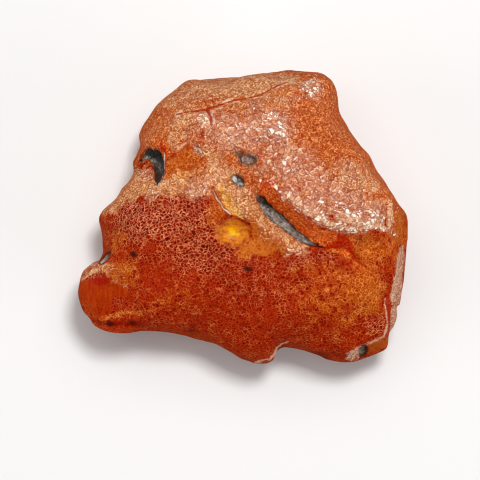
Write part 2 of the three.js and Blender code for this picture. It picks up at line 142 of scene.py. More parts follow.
frontGrooves = [
    stripCrack,
    crackBranch,
    [  # valley from the left edge, with the pocket
        (-0.72, 0.346, -1.8, 2.2), (-0.592, 0.346, -1.4, 1.9), (-0.5, 0.35, -0.6, 1.6), (-0.4, 0.37, 0, 1.6),
    ],
    [  # dip that the crevice runs in
        (0.1, 0.11, -0.6, 1.2), (0.252, -0.05, -0.9, 1.3), (0.39, -0.16, -0.7, 1.1), (0.5, -0.21, 0, 0.9),
    ],
    [  # crease beyond its end
        (0.487, -0.206, 0, 0.7), (0.617, -0.236, -0.8, 0.7), (0.67, -0.272, -0.7, 0.7),
        (0.753, -0.352, -0.5, 0.7), (0.8, -0.385, 0, 0.7),
    ],
    [(-0.9, -0.27, -1.8, 1.1), (-0.835, -0.271, -1.3, 1), (-0.75, -0.26, 0, 0.8)],  # nick, left edge
    [(0.21, -0.96, -2.4, 0.9), (0.224, -0.9, -1.2, 0.8), (0.235, -0.85, 0, 0.7)],  # notch, bottom edge
]
backSteps = [
    [
        (0.75, 0.4, 0, 1.2), (0.45, 0.24, 0.9, 1.2), (0.4, -0.05, 1.3, 1.2), (0.5, -0.35, 1.1, 1.2),
        (0.62, -0.75, 0, 1.2),
    ],
]
backGrooves = [
    [(-0.7, 0.25, 1.4, 1.2), (-0.45, 0.36, 1.1, 1), (-0.2, 0.62, 0.9, 0.9), (-0.1, 0.85, 1.2, 1)],
    [(-0.62, -0.62, 1.2, 1.1), (-0.34, -0.5, 0.7, 0.9), (-0.2, -0.72, 0.9, 1)],
]

# Spots: place, two radii in mm, turn in degrees, height in mm. Bowls have a sharp edge, swells none.
frontBowls = [
    (-0.055, -0.097, 3.3, 2.5, 10, -1.2),  # clear chip
    (-0.09, 0.092, 3.1, 1.4, -47, -1.1),  # its upper facet
    (-0.336, 0.4, 3.4, 2.6, 10, -1),  # recess right of the pocket
    (-0.9, -0.55, 3.4, 3.8, 0, -0.35),  # worn face of the lower left lobe
    (0.032, -0.349, 0.7, 0.5, -20, -0.4),  # brown spot
    (-0.667, -0.253, 0.6, 0.6, 0, -0.5),  # pin hole
]
frontSwells = [
    (0.19, 0.604, 5, 3.2, -20, 0.8),  # crest of the upper right lobe
    (0.42, 0.86, 3.6, 3, 30, 1),  # knob at its top
    (-0.24, 0.66, 3, 2, 0, 0.8),
    (0.5, 0.28, 5, 4, 0, -0.6),
    (0.62, 0, 6, 2.2, -12, 0.7),  # lip above the slope
    (0.3, 0.1, 3.4, 1.8, -40, 0.5),
    (-0.32, 0.17, 5.5, 1.8, 4, 0.9),  # brow over the lower face
    (0.14, -0.08, 1.2, 7, 52, 0.8),  # band beside the crevice
    (-0.4, -0.35, 7, 5, 0, -0.5),
    (0.3, -0.6, 6, 4, 0, 0.4),
    (0.12, -0.93, 3, 2.2, 0, 0.8),
]
backBowls = [
    (0.62, 0.3, 3.4, 2.4, 30, 1.1),
    (-0.5, -0.1, 2.6, 3.6, 20, 0.9),
    (0.2, -0.72, 2.6, 1.6, -10, 1.1),
]
backSwells = [
    (0.1, 0.7, 4, 3, 0, -0.9),
    (-0.62, 0.1, 3, 4, 0, -0.8),
    (0.72, -0.15, 3, 4, 0, -0.9),
]

# Waves of the whole surface: direction, length and height in mm, start
unevenWaves = [
    ((0.9, 0.3, 0.2), 13, 0.28, 0.4),
    ((-0.4, 0.8, 0.3), 10, 0.24, 1.9),
    ((0.5, -0.6, 0.7), 7.5, 0.18, 3.1),
    ((0.7, 0.7, -0.5), 5.6, 0.13, 5.2),
]

# Hollows with dark matter. The crevice follows a path with half its width, and a pit is an ellipse.
crevice = [
    (0.08, 0.14, 0.45), (0.104, 0.1, 0.72), (0.178, 0.022, 0.85), (0.252, -0.05, 0.72),
    (0.331, -0.122, 0.6), (0.39, -0.16, 0.48), (0.445, -0.19, 0.25), (0.487, -0.206, 0.12),
]
pits = {
    "left_pocket_fill": (-0.53, 0.355, 1.5, 2.9, 20),
    "upper_pit_fill": (0.028, 0.39, 1.5, 0.75, -15),
    "middle_pit_fill": (-0.02, 0.238, 0.8, 1.35, 38),
    "edge_pit_fill": (-0.835, -0.272, 1.3, 0.75, 49),
    "corner_pit_fill": (0.73, -0.91, 0.75, 1.1, -10),
}


# Shape maths, on whole arrays

farAway = 9.0  # more than any distance that counts, in half widths, radii or cell sizes
zoneRaggedness = 0.6  # of the width of a zone's soft edge


def eased(share):
    # 0 below 0, 1 above 1, and 3t² - 2t³ between
    held = np.clip(share, 0, 1)
    return held * held * (3 - 2 * held)


def facetHeight(facets, x, y, sign):
    # rounded lowest (sign 1) or highest (sign -1) of the planes: -sign/k · log of the sum of e^(-sign·k·z)
    sharpness = lump["facetSharpness"]
    total = 0
    for shareX, shareY, height, slopeX, slopeY in facets:
        z = height * thickness + slopeX * (x - shareX * halfLength) + slopeY * (y - shareY * halfBreadth)
        total = total + np.exp(-sign * sharpness * z)
    return -sign * np.log(total) / sharpness


def nearest(path, x, y):
    # signed distance to the nearest stretch of a path, positive on its left, and what it carries there
    points = np.array(path, float) * ([halfLength, halfBreadth] + [1] * (len(path[0]) - 2))
    found = np.full(np.shape(x), np.inf)
    side = np.ones(np.shape(x))
    carried = np.zeros((points.shape[1] - 2,) + np.shape(x))
    for start, end in zip(points, points[1:]):
        dx, dy = end[:2] - start[:2]
        share = np.clip(((x - start[0]) * dx + (y - start[1]) * dy) / (dx * dx + dy * dy), 0, 1)
        gapX = x - start[0] - share * dx
        gapY = y - start[1] - share * dy
        gap = np.hypot(gapX, gapY)
        closer = gap < found
        found = np.where(closer, gap, found)
        side = np.where(closer, np.where(dx * gapY - dy * gapX < 0, -1, 1), side)
        for k in range(len(carried)):
            carried[k] = np.where(closer, start[k + 2] + share * (end[k + 2] - start[k + 2]), carried[k])
    return side * found, carried


def spotDistance(spot, x, y):
    # distance from a spot's middle, in its own radii
    shareX, shareY, radiusA, radiusB, turn = spot[:5]
    cos, sin = math.cos(math.radians(turn)), math.sin(math.radians(turn))
    offX, offY = x - shareX * halfLength, y - shareY * halfBreadth
    return np.hypot((offX * cos + offY * sin) / radiusA, (offY * cos - offX * sin) / radiusB)


def reliefHeight(steps, grooves, bowls, swells, x, y):
    # added up: steps h·t²(3 - t)/2 with t = d/w, grooves h·e^-(d/w)²,
    # bowls h·(1 - q²) and swells h·e^-q²
    z = np.zeros(np.shape(x))
    for path in steps:
        distance, (height, width) = nearest(path, x, y)
        share = np.clip(distance / width, 0, 1)
        z += height * share * share * (3 - share) / 2
    for path in grooves:
        distance, (height, width) = nearest(path, x, y)
        z += height * np.exp(-(distance / width) ** 2)
    for bowl in bowls:
        z += bowl[5] * np.maximum(1 - spotDistance(bowl, x, y) ** 2, 0)
    for swell in swells:
        z += swell[5] * np.exp(-spotDistance(swell, x, y) ** 2)
    return z


def frontHeight(x, y):
    # lowest of the front's planes, plus its relief
    relief = reliefHeight(frontSteps, frontGrooves, frontBowls, frontSwells, x, y)
    return facetHeight(frontFacets, x, y, 1) + relief


def backHeight(x, y):
    # flat where it would dip below the floor, and eased into the facets round it:
    # z²/2e below the height e, and z - e/2 above it
    ease = lump["flatSpotEase"]
    rise = np.maximum(facetHeight(backFacets, x, y, -1), 0)
    settled = np.where(rise < ease, rise * rise / (2 * ease), rise - ease / 2)
    relief = reliefHeight(backSteps, backGrooves, backBowls, backSwells, x, y)
    return settled + relief * eased(rise / (2 * ease))


def unevenness(x, y, z):
    # waves through the whole lump, added up: h·sin(2π·d/length + start),
    # where d is how far along the wave's direction a place lies
    total = 0
    for (alongX, alongY, alongZ), waveLength, height, start in unevenWaves:
        travelled = (x * alongX + y * alongY + z * alongZ) / math.hypot(alongX, alongY, alongZ)
        total = total + height * np.sin(2 * math.pi * travelled / waveLength + start)
    return total


def rimLine():
    # closed Catmull-Rom curve through the outline's points, with its length so far as a share of the whole
    points = np.array(outline) * [halfLength, halfBreadth]
    after = np.roll(points, -1, 0)
    slope = (after - np.roll(points, 1, 0)) / 2
    slopeAfter = np.roll(slope, -1, 0)
    t = np.arange(lump["rimSteps"])[:, None, None] / lump["rimSteps"]
    curve = (
        (2 * t**3 - 3 * t**2 + 1) * points + (t**3 - 2 * t**2 + t) * slope
        + (3 * t**2 - 2 * t**3) * after + (t**3 - t**2) * slopeAfter
    )
    curve = curve.transpose(1, 0, 2).reshape(-1, 2)
    curve = np.vstack([curve, curve[:1]])
    run = np.concatenate([[0], np.cumsum(np.hypot(*np.diff(curve, axis=0).T))])
    return curve, run / run[-1]


rimCurve, rimShares = rimLine()
rimAngles = np.unwrap(np.arctan2(rimCurve[:, 1], rimCurve[:, 0]))
rimReach = np.hypot(rimCurve[:, 0], rimCurve[:, 1])


def rimPlace(x, y):
    # how far round the outline a place lies, by its angle, and how far out: its distance by the outline's
    angle = np.arctan2(y, x)
    angle = np.where(angle < rimAngles[0], angle + 2 * math.pi, angle)
    out = np.hypot(x, y) / np.interp(angle, rimAngles, rimReach)
    return np.interp(angle, rimAngles, rimShares), out


def sectionLeft(out, front):
    # what is left of the height, from the middle to the rim: (1 - out^p)^(1/s)
    power = lump["frontPower"] if front else lump["backPower"]
    flat = 0 if front else lump["backFlatShare"]
    return (1 - np.maximum((out - flat) / (1 - flat), 0) ** power) ** (1 / lump["sidePower"])


def sectionOut(ring, front):
    # rings spaced evenly along the section's own profile
    out = np.sin(np.linspace(0, math.pi / 2, lump["sectionSamples"] + 1))
    left = sectionLeft(np.minimum(out, 1), front)
    run = np.concatenate([[0], np.cumsum(np.hypot(np.diff(out) * halfBreadth, np.diff(left) * rimHeight))])
    return np.interp(ring, run / run[-1], out)


def bareSurface(share, out, front):
    # rings are smaller copies of the outline, and height = rim + (face - rim) · what the section leaves,
    # moved outwards by the waves
    x = np.interp(share, rimShares, rimCurve[:, 0]) * out
    y = np.interp(share, rimShares, rimCurve[:, 1]) * out
    turn = 2 * math.pi * share
    waves = (height * np.sin(count * turn + start) for height, count, start in lump["rimWaves"])
    rim = rimHeight * sum(waves, 1)
    height = frontHeight(x, y) if front else backHeight(x, y)
    z = rim + (height - rim) * sectionLeft(np.minimum(out, 1), front)
    outward = np.stack([x / halfLength**2, y / halfBreadth**2, (z - rim) / rimHeight**2], -1)
    outward /= np.linalg.norm(outward, axis=-1, keepdims=True) + 1e-9
    kept = 1 if front else eased(height / lump["flatSpotEase"] / 2 + out**4)  # the flat spot stays flat
    uneven = kept * (unevenness(x, y, z) - out**8 * unevenness(x, y, rim))  # none on the rim itself
    return np.stack([x, y, z], -1) + outward * uneven[..., None]


def squareRings(squares):
    # a square grid as rings: how far out (0 to 1) and how far round (0 to 1, from the right)
    u, v = np.meshgrid(*[np.linspace(-1, 1, squares + 1)] * 2, indexing="ij")
    ring = np.maximum(abs(u), abs(v))
    flat = abs(u) >= abs(v)
    with np.errstate(divide="ignore", invalid="ignore"):
        sides = np.where(u > 0, (v / u / 8) % 1, 0.5 + v / u / 8)
        ends = np.where(v > 0, 0.25 - u / v / 8, 0.75 - u / v / 8)
    return ring, np.nan_to_num(np.where(flat, sides, ends))


def weld(top, bottom):
    # two square grids that share their edge, as one closed mesh with its faces outwards
    count = top.shape[0]
    edge = np.zeros((count, count), bool)
    edge[[0, -1], :] = edge[:, [0, -1]] = True
    topIndex = np.arange(count * count).reshape(count, count)
    bottomIndex = topIndex.copy()
    bottomIndex[~edge] = count * count + np.arange((~edge).sum())
    i, j = np.meshgrid(*[np.arange(count - 1)] * 2, indexing="ij")
    towardsCorner = (2 * i + 2 - count) * (2 * j + 2 - count) > 0
    faces = []
    for index, order in ((topIndex, 1), (bottomIndex, -1)):
        a, b, c, d = index[:-1, :-1], index[1:, :-1], index[1:, 1:], index[:-1, 1:]
        for corners in ((a, b, np.where(towardsCorner, c, d)), (np.where(towardsCorner, a, b), c, d)):
            faces.append(np.stack(corners[::order], -1).reshape(-1, 3))
    return np.vstack([top.reshape(-1, 3), bottom[~edge]]), np.vstack(faces), ~edge


def vertexNormals(points, faces):
    # cross products of the faces round each vertex, added up and made one unit long
    a, b, c = (points[faces[:, k]] for k in range(3))
    flat = np.cross(b - a, c - a)
    total = np.stack([
        sum(np.bincount(faces[:, k], flat[:, axis], len(points)) for k in range(3)) for axis in range(3)
    ], -1)
    return total / (np.linalg.norm(total, axis=1, keepdims=True) + 1e-12)


# Scattered cells and soft noise, the same on every run

def scatter(cells, salt):
    # a number from 0 to 1 for each whole-numbered cell
    mixed = (cells * np.array([73856093, 19349663, 83492791])).sum(-1) + salt * 2654435761
    for shift, factor in ((15, 2246822519), (13, 3266489917), (16, 668265263)):
        mixed = ((mixed ^ (mixed >> shift)) * factor) & 0xFFFFFFFF
    return mixed / 0xFFFFFFFF


def plates(points, size):
    # gap between the two nearest scattered seeds, in cell sizes,
    # and a height that tilts each plate its own way
    scaled = points / size
    home = np.floor(scaled).astype(np.int64)
    near = np.full(len(points), farAway)
    second = np.full(len(points), farAway)
    tilt = np.zeros(len(points))
    for step in itertools.product((-1, 0, 1), repeat=3):
        cell = home + step
        offset = scaled - cell - np.stack([scatter(cell, k) for k in range(3)], -1)
        gap = np.linalg.norm(offset, axis=1)
        lean = sum((scatter(cell, k + 3) - 0.5) * offset[:, k] for k in range(3))
        tilt = np.where(gap < near, lean, tilt)
        second = np.minimum(second, np.maximum(near, gap))
        near = np.minimum(near, gap)
    return second - near, tilt


def softNoise(points, size):
    # numbers scattered on a lattice, each weighed by the product of the eased shares: about -1 to 1
    scaled = points / size
    home = np.floor(scaled).astype(np.int64)
    share = eased(scaled - home)
    total = 0
    for step in itertools.product((0, 1), repeat=3):
        weight = np.prod(np.where(np.array(step) == 1, share, 1 - share), axis=-1)
        total = total + weight * scatter(home + step, salt=9)
    return 2 * total - 1


def layeredNoise(points, waves):
    # soft noises of several sizes in mm, each with its height, added up
    return sum(height * softNoise(points, size) for size, height in waves)


def makeMesh(name, points, faces, layers, material):
    # triangles in metres, with each layer as an attribute of the vertices
    mesh = bpy.data.meshes.new(name)
    mesh.vertices.add(len(points))
    mesh.vertices.foreach_set("co", (points * mm).astype(np.float32).ravel())
    mesh.loops.add(faces.size)
    mesh.loops.foreach_set("vertex_index", faces.astype(np.int32).ravel())
    mesh.polygons.add(len(faces))
    mesh.polygons.foreach_set("loop_start", np.arange(0, faces.size, 3, dtype=np.int32))
    mesh.polygons.foreach_set("use_smooth", np.ones(len(faces), bool))
    for layer, values in layers.items():
        mesh.attributes.new(layer, "FLOAT", "POINT").data.foreach_set("value", values.astype(np.float32))
    mesh.update(calc_edges=True)
    mesh.validate()
    mesh.materials.append(material)
    piece = bpy.data.objects.new(name, mesh)
    bpy.context.collection.objects.link(piece)
    return piece


# Shader maths

class Wire:
    # one output of a node, which adds Math nodes when it is used in an expression
    def __init__(self, recipe, socket):
        self.recipe = recipe
        self.socket = socket

    def maths(self, operation, *values):
        return self.recipe.node("ShaderNodeMath", {"operation": operation}, dict(enumerate(values)))

    def __add__(self, other):
        return self.maths("ADD", self, other)

    def __sub__(self, other):
        return self.maths("SUBTRACT", self, other)

    def __rsub__(self, other):
        return self.maths("SUBTRACT", other, self)

    def __mul__(self, other):
        return self.maths("MULTIPLY", self, other)

    __radd__ = __add__
    __rmul__ = __mul__

    def size(self):
        return self.maths("ABSOLUTE", self)

    def orMore(self, other):
        return self.maths("MAXIMUM", self, other)

    def parts(self):
        split = self.recipe.node("ShaderNodeSeparateXYZ", {}, {0: self})
        return [Wire(self.recipe, output) for output in split.socket.node.outputs]

    def between(self, start, end):
        # 0 at start and 1 at end, with soft ends
        settings = {"interpolation_type": "SMOOTHSTEP"}
        return self.recipe.node("ShaderNodeMapRange", settings, {0: self, 1: start, 2: end})

    def atLeast(self, least):
        # 0 to 1 made least to 1
        return least + (1 - least) * self

    def rising(self, start, end, least):
        # least at start and 1 at end, with soft ends
        return self.between(start, end).atLeast(least)


class Recipe:
    # a material and the one way to add a node to it, where a colour is (red, green, blue)
    def __init__(self, name):
        self.material = bpy.data.materials.new(name)
        self.material.use_nodes = True
        self.tree = self.material.node_tree
        self.tree.nodes.clear()

    def node(self, kind, settings, inputs, output=0):
        made = self.tree.nodes.new(kind)
        for name, value in settings.items():
            setattr(made, name, value)
        for key, value in inputs.items():
            socket = made.inputs[key]
            if isinstance(value, Wire):
                self.tree.links.new(value.socket, socket)
            else:
                socket.default_value = (*value, 1) if socket.type == "RGBA" else value
        return Wire(self, made.outputs[output])

    def layer(self, name):
        return self.node("ShaderNodeAttribute", {"attribute_name": name}, {}, "Fac")

    def mix(self, factor, a, b):
        return self.node("ShaderNodeMix", {"data_type": "RGBA"}, {0: factor, 6: a, 7: b}, 2)

    def coated(self, paint, *coats):
        # coats one over the other, each a share and a colour
        for share, tone in coats:
            paint = self.mix(share, paint, tone)
        return paint

    def vector(self, operation, a, b, output="Vector"):
        return self.node("ShaderNodeVectorMath", {"operation": operation}, {0: a, 1: b}, output)

    def times(self, vector, factor):
        return self.vector("MULTIPLY", vector, (factor,) * 3)

    def centred(self, vector):
        # 0 to 1 made -0.5 to 0.5
        return self.vector("SUBTRACT", vector, (0.5,) * 3)

    def place(self):
        # Object coordinates in mm
        return self.times(self.node("ShaderNodeTexCoord", {}, {}, "Object"), 1 / mm)

    def turned(self, place, degrees, stretch):
        # turned about Z, and stretched along the turned X
        return self.node("ShaderNodeMapping", {"vector_type": "TEXTURE"}, {
            "Vector": place,
            "Rotation": (0, 0, math.radians(degrees)),
            "Scale": (stretch, 1, 1),
        })

    def noise(self, place, scale, detail, output="Fac"):
        inputs = {"Vector": place, "Scale": scale, "Detail": detail}
        return self.node("ShaderNodeTexNoise", {}, inputs, output)

    def patches(self, place, scale, detail, start, end):
        # noise made 0 at start and 1 at end
        return self.noise(place, scale, detail).between(start, end)

    def cells(self, place, size, output):
        # the Color or Position of the nearest cell, or the Distance from its border, in cell sizes
        feature = "DISTANCE_TO_EDGE" if output == "Distance" else "F1"
        inputs = {"Vector": place, "Scale": 1 / size}
        return self.node("ShaderNodeTexVoronoi", {"feature": feature}, inputs, output)

    def bump(self, height, strength=1):
        # height in mm
        inputs = {"Strength": strength, "Distance": mm, "Height": height}
        return self.node("ShaderNodeBump", {}, inputs, "Normal")

    def skin(self, inputs):
        return self.node("ShaderNodeBsdfPrincipled", {}, inputs)

    def blend(self, factor, a, b):
        return self.node("ShaderNodeMixShader", {}, {0: factor, 1: a, 2: b})

    def finish(self, surface, volume=None):
        out = self.tree.nodes.new("ShaderNodeOutputMaterial")
        self.tree.links.new(surface.socket, out.inputs["Surface"])
        if volume:
            self.tree.links.new(volume.socket, out.inputs["Volume"])
        return self.material


refraction = 1.54  # of amber

amberLook = {
    # mm across
    "cell": 0.52,  # of the network of the lower face
    "tinyCell": 0.58,
    "plate": 1.05,
    "flake": 0.5,
    "flakeStretch": 1.6,
    "flakeTurn": -30,  # degrees from X
    # mm by which the two noises bend all of them
    "driftWarp": 1.1,
    "quiverWarp": 0.3,
    "dull": {
        "IOR": refraction,
        "Roughness": 0.5,
        "Specular IOR Level": 0,
        "Transmission Weight": 0.04,
        "Subsurface Weight": 0.3,
        "Subsurface Radius": (1, 0.3, 0.1),
        "Subsurface Scale": 0.5 * mm,
    },
    "glossy": {"IOR": refraction, "Roughness": 0.16, "Specular IOR Level": 0.5},
    "clear": {
        "IOR": refraction,
        "Roughness": 0.38,
        "Specular IOR Level": 0.04,
        "Transmission Weight": 0.2,
        "Subsurface Weight": 0.5,
        "Subsurface Radius": (1, 0.5, 0.1),
        "Subsurface Scale": 0.6 * mm,
    },
    "inside": {"Color": (0.95, 0.62, 0.06), "Density": 160},  # absorption, per metre
    # the clear chip: its streaks, its three colours by depth, and where it gives way to the crust
    "streakSqueeze": (1, 1.7, 1),
    "streakDepth": 1.7,
    "middleDepth": (0, 0.6),
    "coreDepth": (0.55, 1.05),
    "netDepth": (0.8, 0.3),
    "clearBesideEdge": (3, 2),
    "clearUnderNet": 0.45,
    "clearPatches": 1.6,
    "clearRise": (0.3, 0.75),
    # noises: scale per mm and detail, and for some the values between which they rise
    "drift": (0.8, 2),
    "quiver": (3.2, 1),
    "patchy": (0.9, 3),
    "wave": (1.6, 1),
    "streak": (1.5, 5),
    "mottle": (2.6, 3, 0.35, 0.65),
    "hue": (0.45, 2, 0.45, 0.65),
    "grit": (5, 2, 0.4, 0.6),
    "stripe": (1, 4, 0.35, 0.65),
    # how far the zones' borders jump from cell to cell, and from patch to patch
    "cellJump": 0.4,
    "patchJump": 0.7,
    "jumpRise": (0, 0.25),  # strength of a zone over which the jump sets in
    "zoneRise": (0.12, 0.88),  # and over which the zone does
    # where the patchy noise lets each show: from nothing, or from a least, to all of it
    "shown": {
        "net": (0.38, 0.6, 0.55), "tinyNet": (0.4, 0.55, 0.35), "edge": (0.4, 0.55, 0.5),
        "seam": (0.3, 0.5), "beside": (0.5, 0.62),
    },
    # lines: full up to the first distance from a border, in cell sizes, and gone at the second
    "netLine": (0.015, 0.12),
    "tinyLine": (0, 0.1),
    "seam": (0.02, 0.09),
    # and by how far a noise is from its middle
    "wavyLine": (0.005, 0.045),
    "furrow": (0.01, 0.06),
    # lines of the front: how uneven, and in half widths where they start and where they are full
    # the pale lines and the lines of the sharp edges are painted highlights
    "paleLine": (1.4, 1.4, 0.5),
    "edgeLine": (0.7, 1.3, 0.6),
    "crackLine": (0.45, 1.4, 0.6),
    # in half widths too, where an edge's shadow and what lies beside the crack come and go
    "edgeShadowRise": (2.6, 1.4),
    "besideRise": (1, 2),
    "besideFall": (5, 2.5),
    # how much of each zone is plated, and how much of it shines
    "plated": {"rose": 0.8, "gold": 0.3, "orange": 0.2},
    "shiny": {"rose": 0.6, "gold": 0.2, "orange": 0.2, "smooth": 0.04},
    # how much zones and the painted shade of the rim take off the net, the relief and the shine
    "damping": {"smoothNet": 0.85, "roseNet": 0.45, "smoothRelief": 0.8, "honeyShine": 0.8, "rimShine": 0.7},
    # how much each decides which parts of the ground are darker
    "tone": {"cell": 0.6, "mottle": 0.4, "plate": 0.6, "grit": 0.8, "stripe": 0.7, "stripeGrit": 0.3},
    "cellTone": (0.15, 0.6),
    "stripeStretch": (2.8, 0.4, 0.4),
    # how strongly each is painted on
    "cover": {
        "goldLine": 0.25, "glintLine": 0.3, "paleNet": 0.4, "seam": 0.9, "flakeShadeRing": 0.7, "flake": 0.9,
        "edgeShadow": 0.7, "besideCrack": 0.5, "clearNet": 0.5, "wavyLine": 0.9, "furrow": 0.5,
        "goldRim": 0.35, "rimShadeTone": 0.15, "rimMottle": 0.45, "paleLeast": 0.35,
    },
    # pale rims, painted highlights on the side of each plate towards the light: how far towards it, and how
    # far from the plate's border they start and end
    "litSide": (0.05, 0.25),
    "litStart": (0.05, 0.09),
    "litEnd": (0.24, 0.14),
    "litPlates": (0.25, 0.5),  # which plates have one, by the number tossed for each
    # flakes, painted white as highlights: share of the cells where they glint, the number tossed that makes
    # one, and their outlines, with a ring of painted shade round each
    "flakeShare": 0.44,
    "flakeToss": (1, 1.08),
    "flakeEdge": (0.06, 0.13),
    "flakeShadeRing": (0.07, 0.02),
    # mm of height
    "netHeight": 0.04,
    "mottleHeight": 0.02,
    "flakeHeight": 0.06,
    "streakHeight": 0.12,
    "flakeTilt": 0.6,  # for each mm across
    "plainTilt": 0.2,  # share of it outside the rose zone
    "towardsLight": (-0.5, 0.8, 0),
    # in each zone: the darkest cells, the rest of the ground, and the lines on it
    "plain": ((0.21, 0.003, 0.0001), (0.35, 0.015, 0.0006), (0.54, 0.06, 0.008)),
    "zones": {
        "maroon": ((0.12, 0.0006, 0.0001), (0.3, 0.01, 0.0006), (0.82, 0.25, 0.1)),
        "orange": ((0.32, 0.028, 0.001), (0.56, 0.095, 0.012), (0.98, 0.4, 0.13)),
        "gold": ((0.36, 0.07, 0.012), (0.65, 0.21, 0.055), (1, 0.66, 0.33)),
        # rose: pale pink that partly stands in for sheen, a painted sheen
        "rose": ((0.32, 0.04, 0.01), (0.74, 0.255, 0.095), (1, 0.68, 0.4)),
        "honey": ((0.34, 0.03, 0.0005), (0.48, 0.078, 0.002), (0.8, 0.25, 0.05)),
        "ember": ((0.44, 0.016, 0.0003), (0.7, 0.066, 0.0015), (1, 0.34, 0.07)),
        "yellow": ((0.56, 0.12, 0.004), (0.94, 0.43, 0.04), (1, 0.82, 0.36)),
        "tail": ((0.36, 0.045, 0.002), (0.56, 0.13, 0.008), (0.66, 0.2, 0.03)),
        "smooth": ((0.33, 0.016, 0.0002), (0.45, 0.043, 0.0008), (0.5, 0.06, 0.004)),
        # deep red, partly painted shade on cliff faces, in a crease and under the bottom edge
        "deepRed": ((0.3, 0.005, 0.0001), (0.4, 0.01, 0.0003), (0.5, 0.03, 0.004)),
        "scarlet": ((0.33, 0.004, 0.0001), (0.5, 0.012, 0.0002), (0.62, 0.06, 0.006)),
        "ash": ((0.1, 0.05, 0.035), (0.2, 0.12, 0.09), (0.33, 0.2, 0.15)),
        "chalk": ((0.2, 0.085, 0.055), (0.72, 0.38, 0.235), (1, 0.68, 0.5)),
        # cream: pale cream, partly a painted highlight on the lip, the crest and the pale plates
        "cream": ((0.42, 0.12, 0.04), (0.82, 0.41, 0.2), (1, 0.8, 0.57)),
    },
    "goldLine": (0.85, 0.33, 0.09),
    # white of the glinting flakes and of the lines in the glint zone: a painted highlight
    "glintColour": (1, 0.9, 0.76),
    # pale rim: a painted highlight on the plates' lit side, and the colour beside the crack
    "plateRim": (1, 0.78, 0.57),
    # painted shade at the rim
    "rimShadeTone": (0.33, 0.045, 0.006),
    # pale lines, partly a painted sheen on the lit top of the brow
    "paleNet": (0.92, 0.43, 0.25),
    # painted highlight along edge crests
    "paleEdge": (0.86, 0.54, 0.37),
    # painted highlight along sharp edges
    "edge": (0.68, 0.54, 0.46),
    "edgeShadow": (0.2, 0.05, 0.015),
    # dark brown of stains, and painted shade under the bottom edge and in and round the hollows
    "stainAndShade": (0.045, 0.007, 0.004),
    "crack": (0.38, 0.026, 0.003),
    "clearRim": (0.5, 0.09, 0.0003),
    "clearMiddle": (0.82, 0.27, 0.0005),
    "clearCore": (1, 0.6, 0.002),
}


def weighed(zone, weights):
    # zones added up, each times its weight
    return sum(zone[name] * weight for name, weight in weights.items())


def unevenLine(gap, mottle, uneven, start, full):
    # a line that the mottling moves in and out
    return (gap + (mottle - 0.5) * uneven).between(start, full)


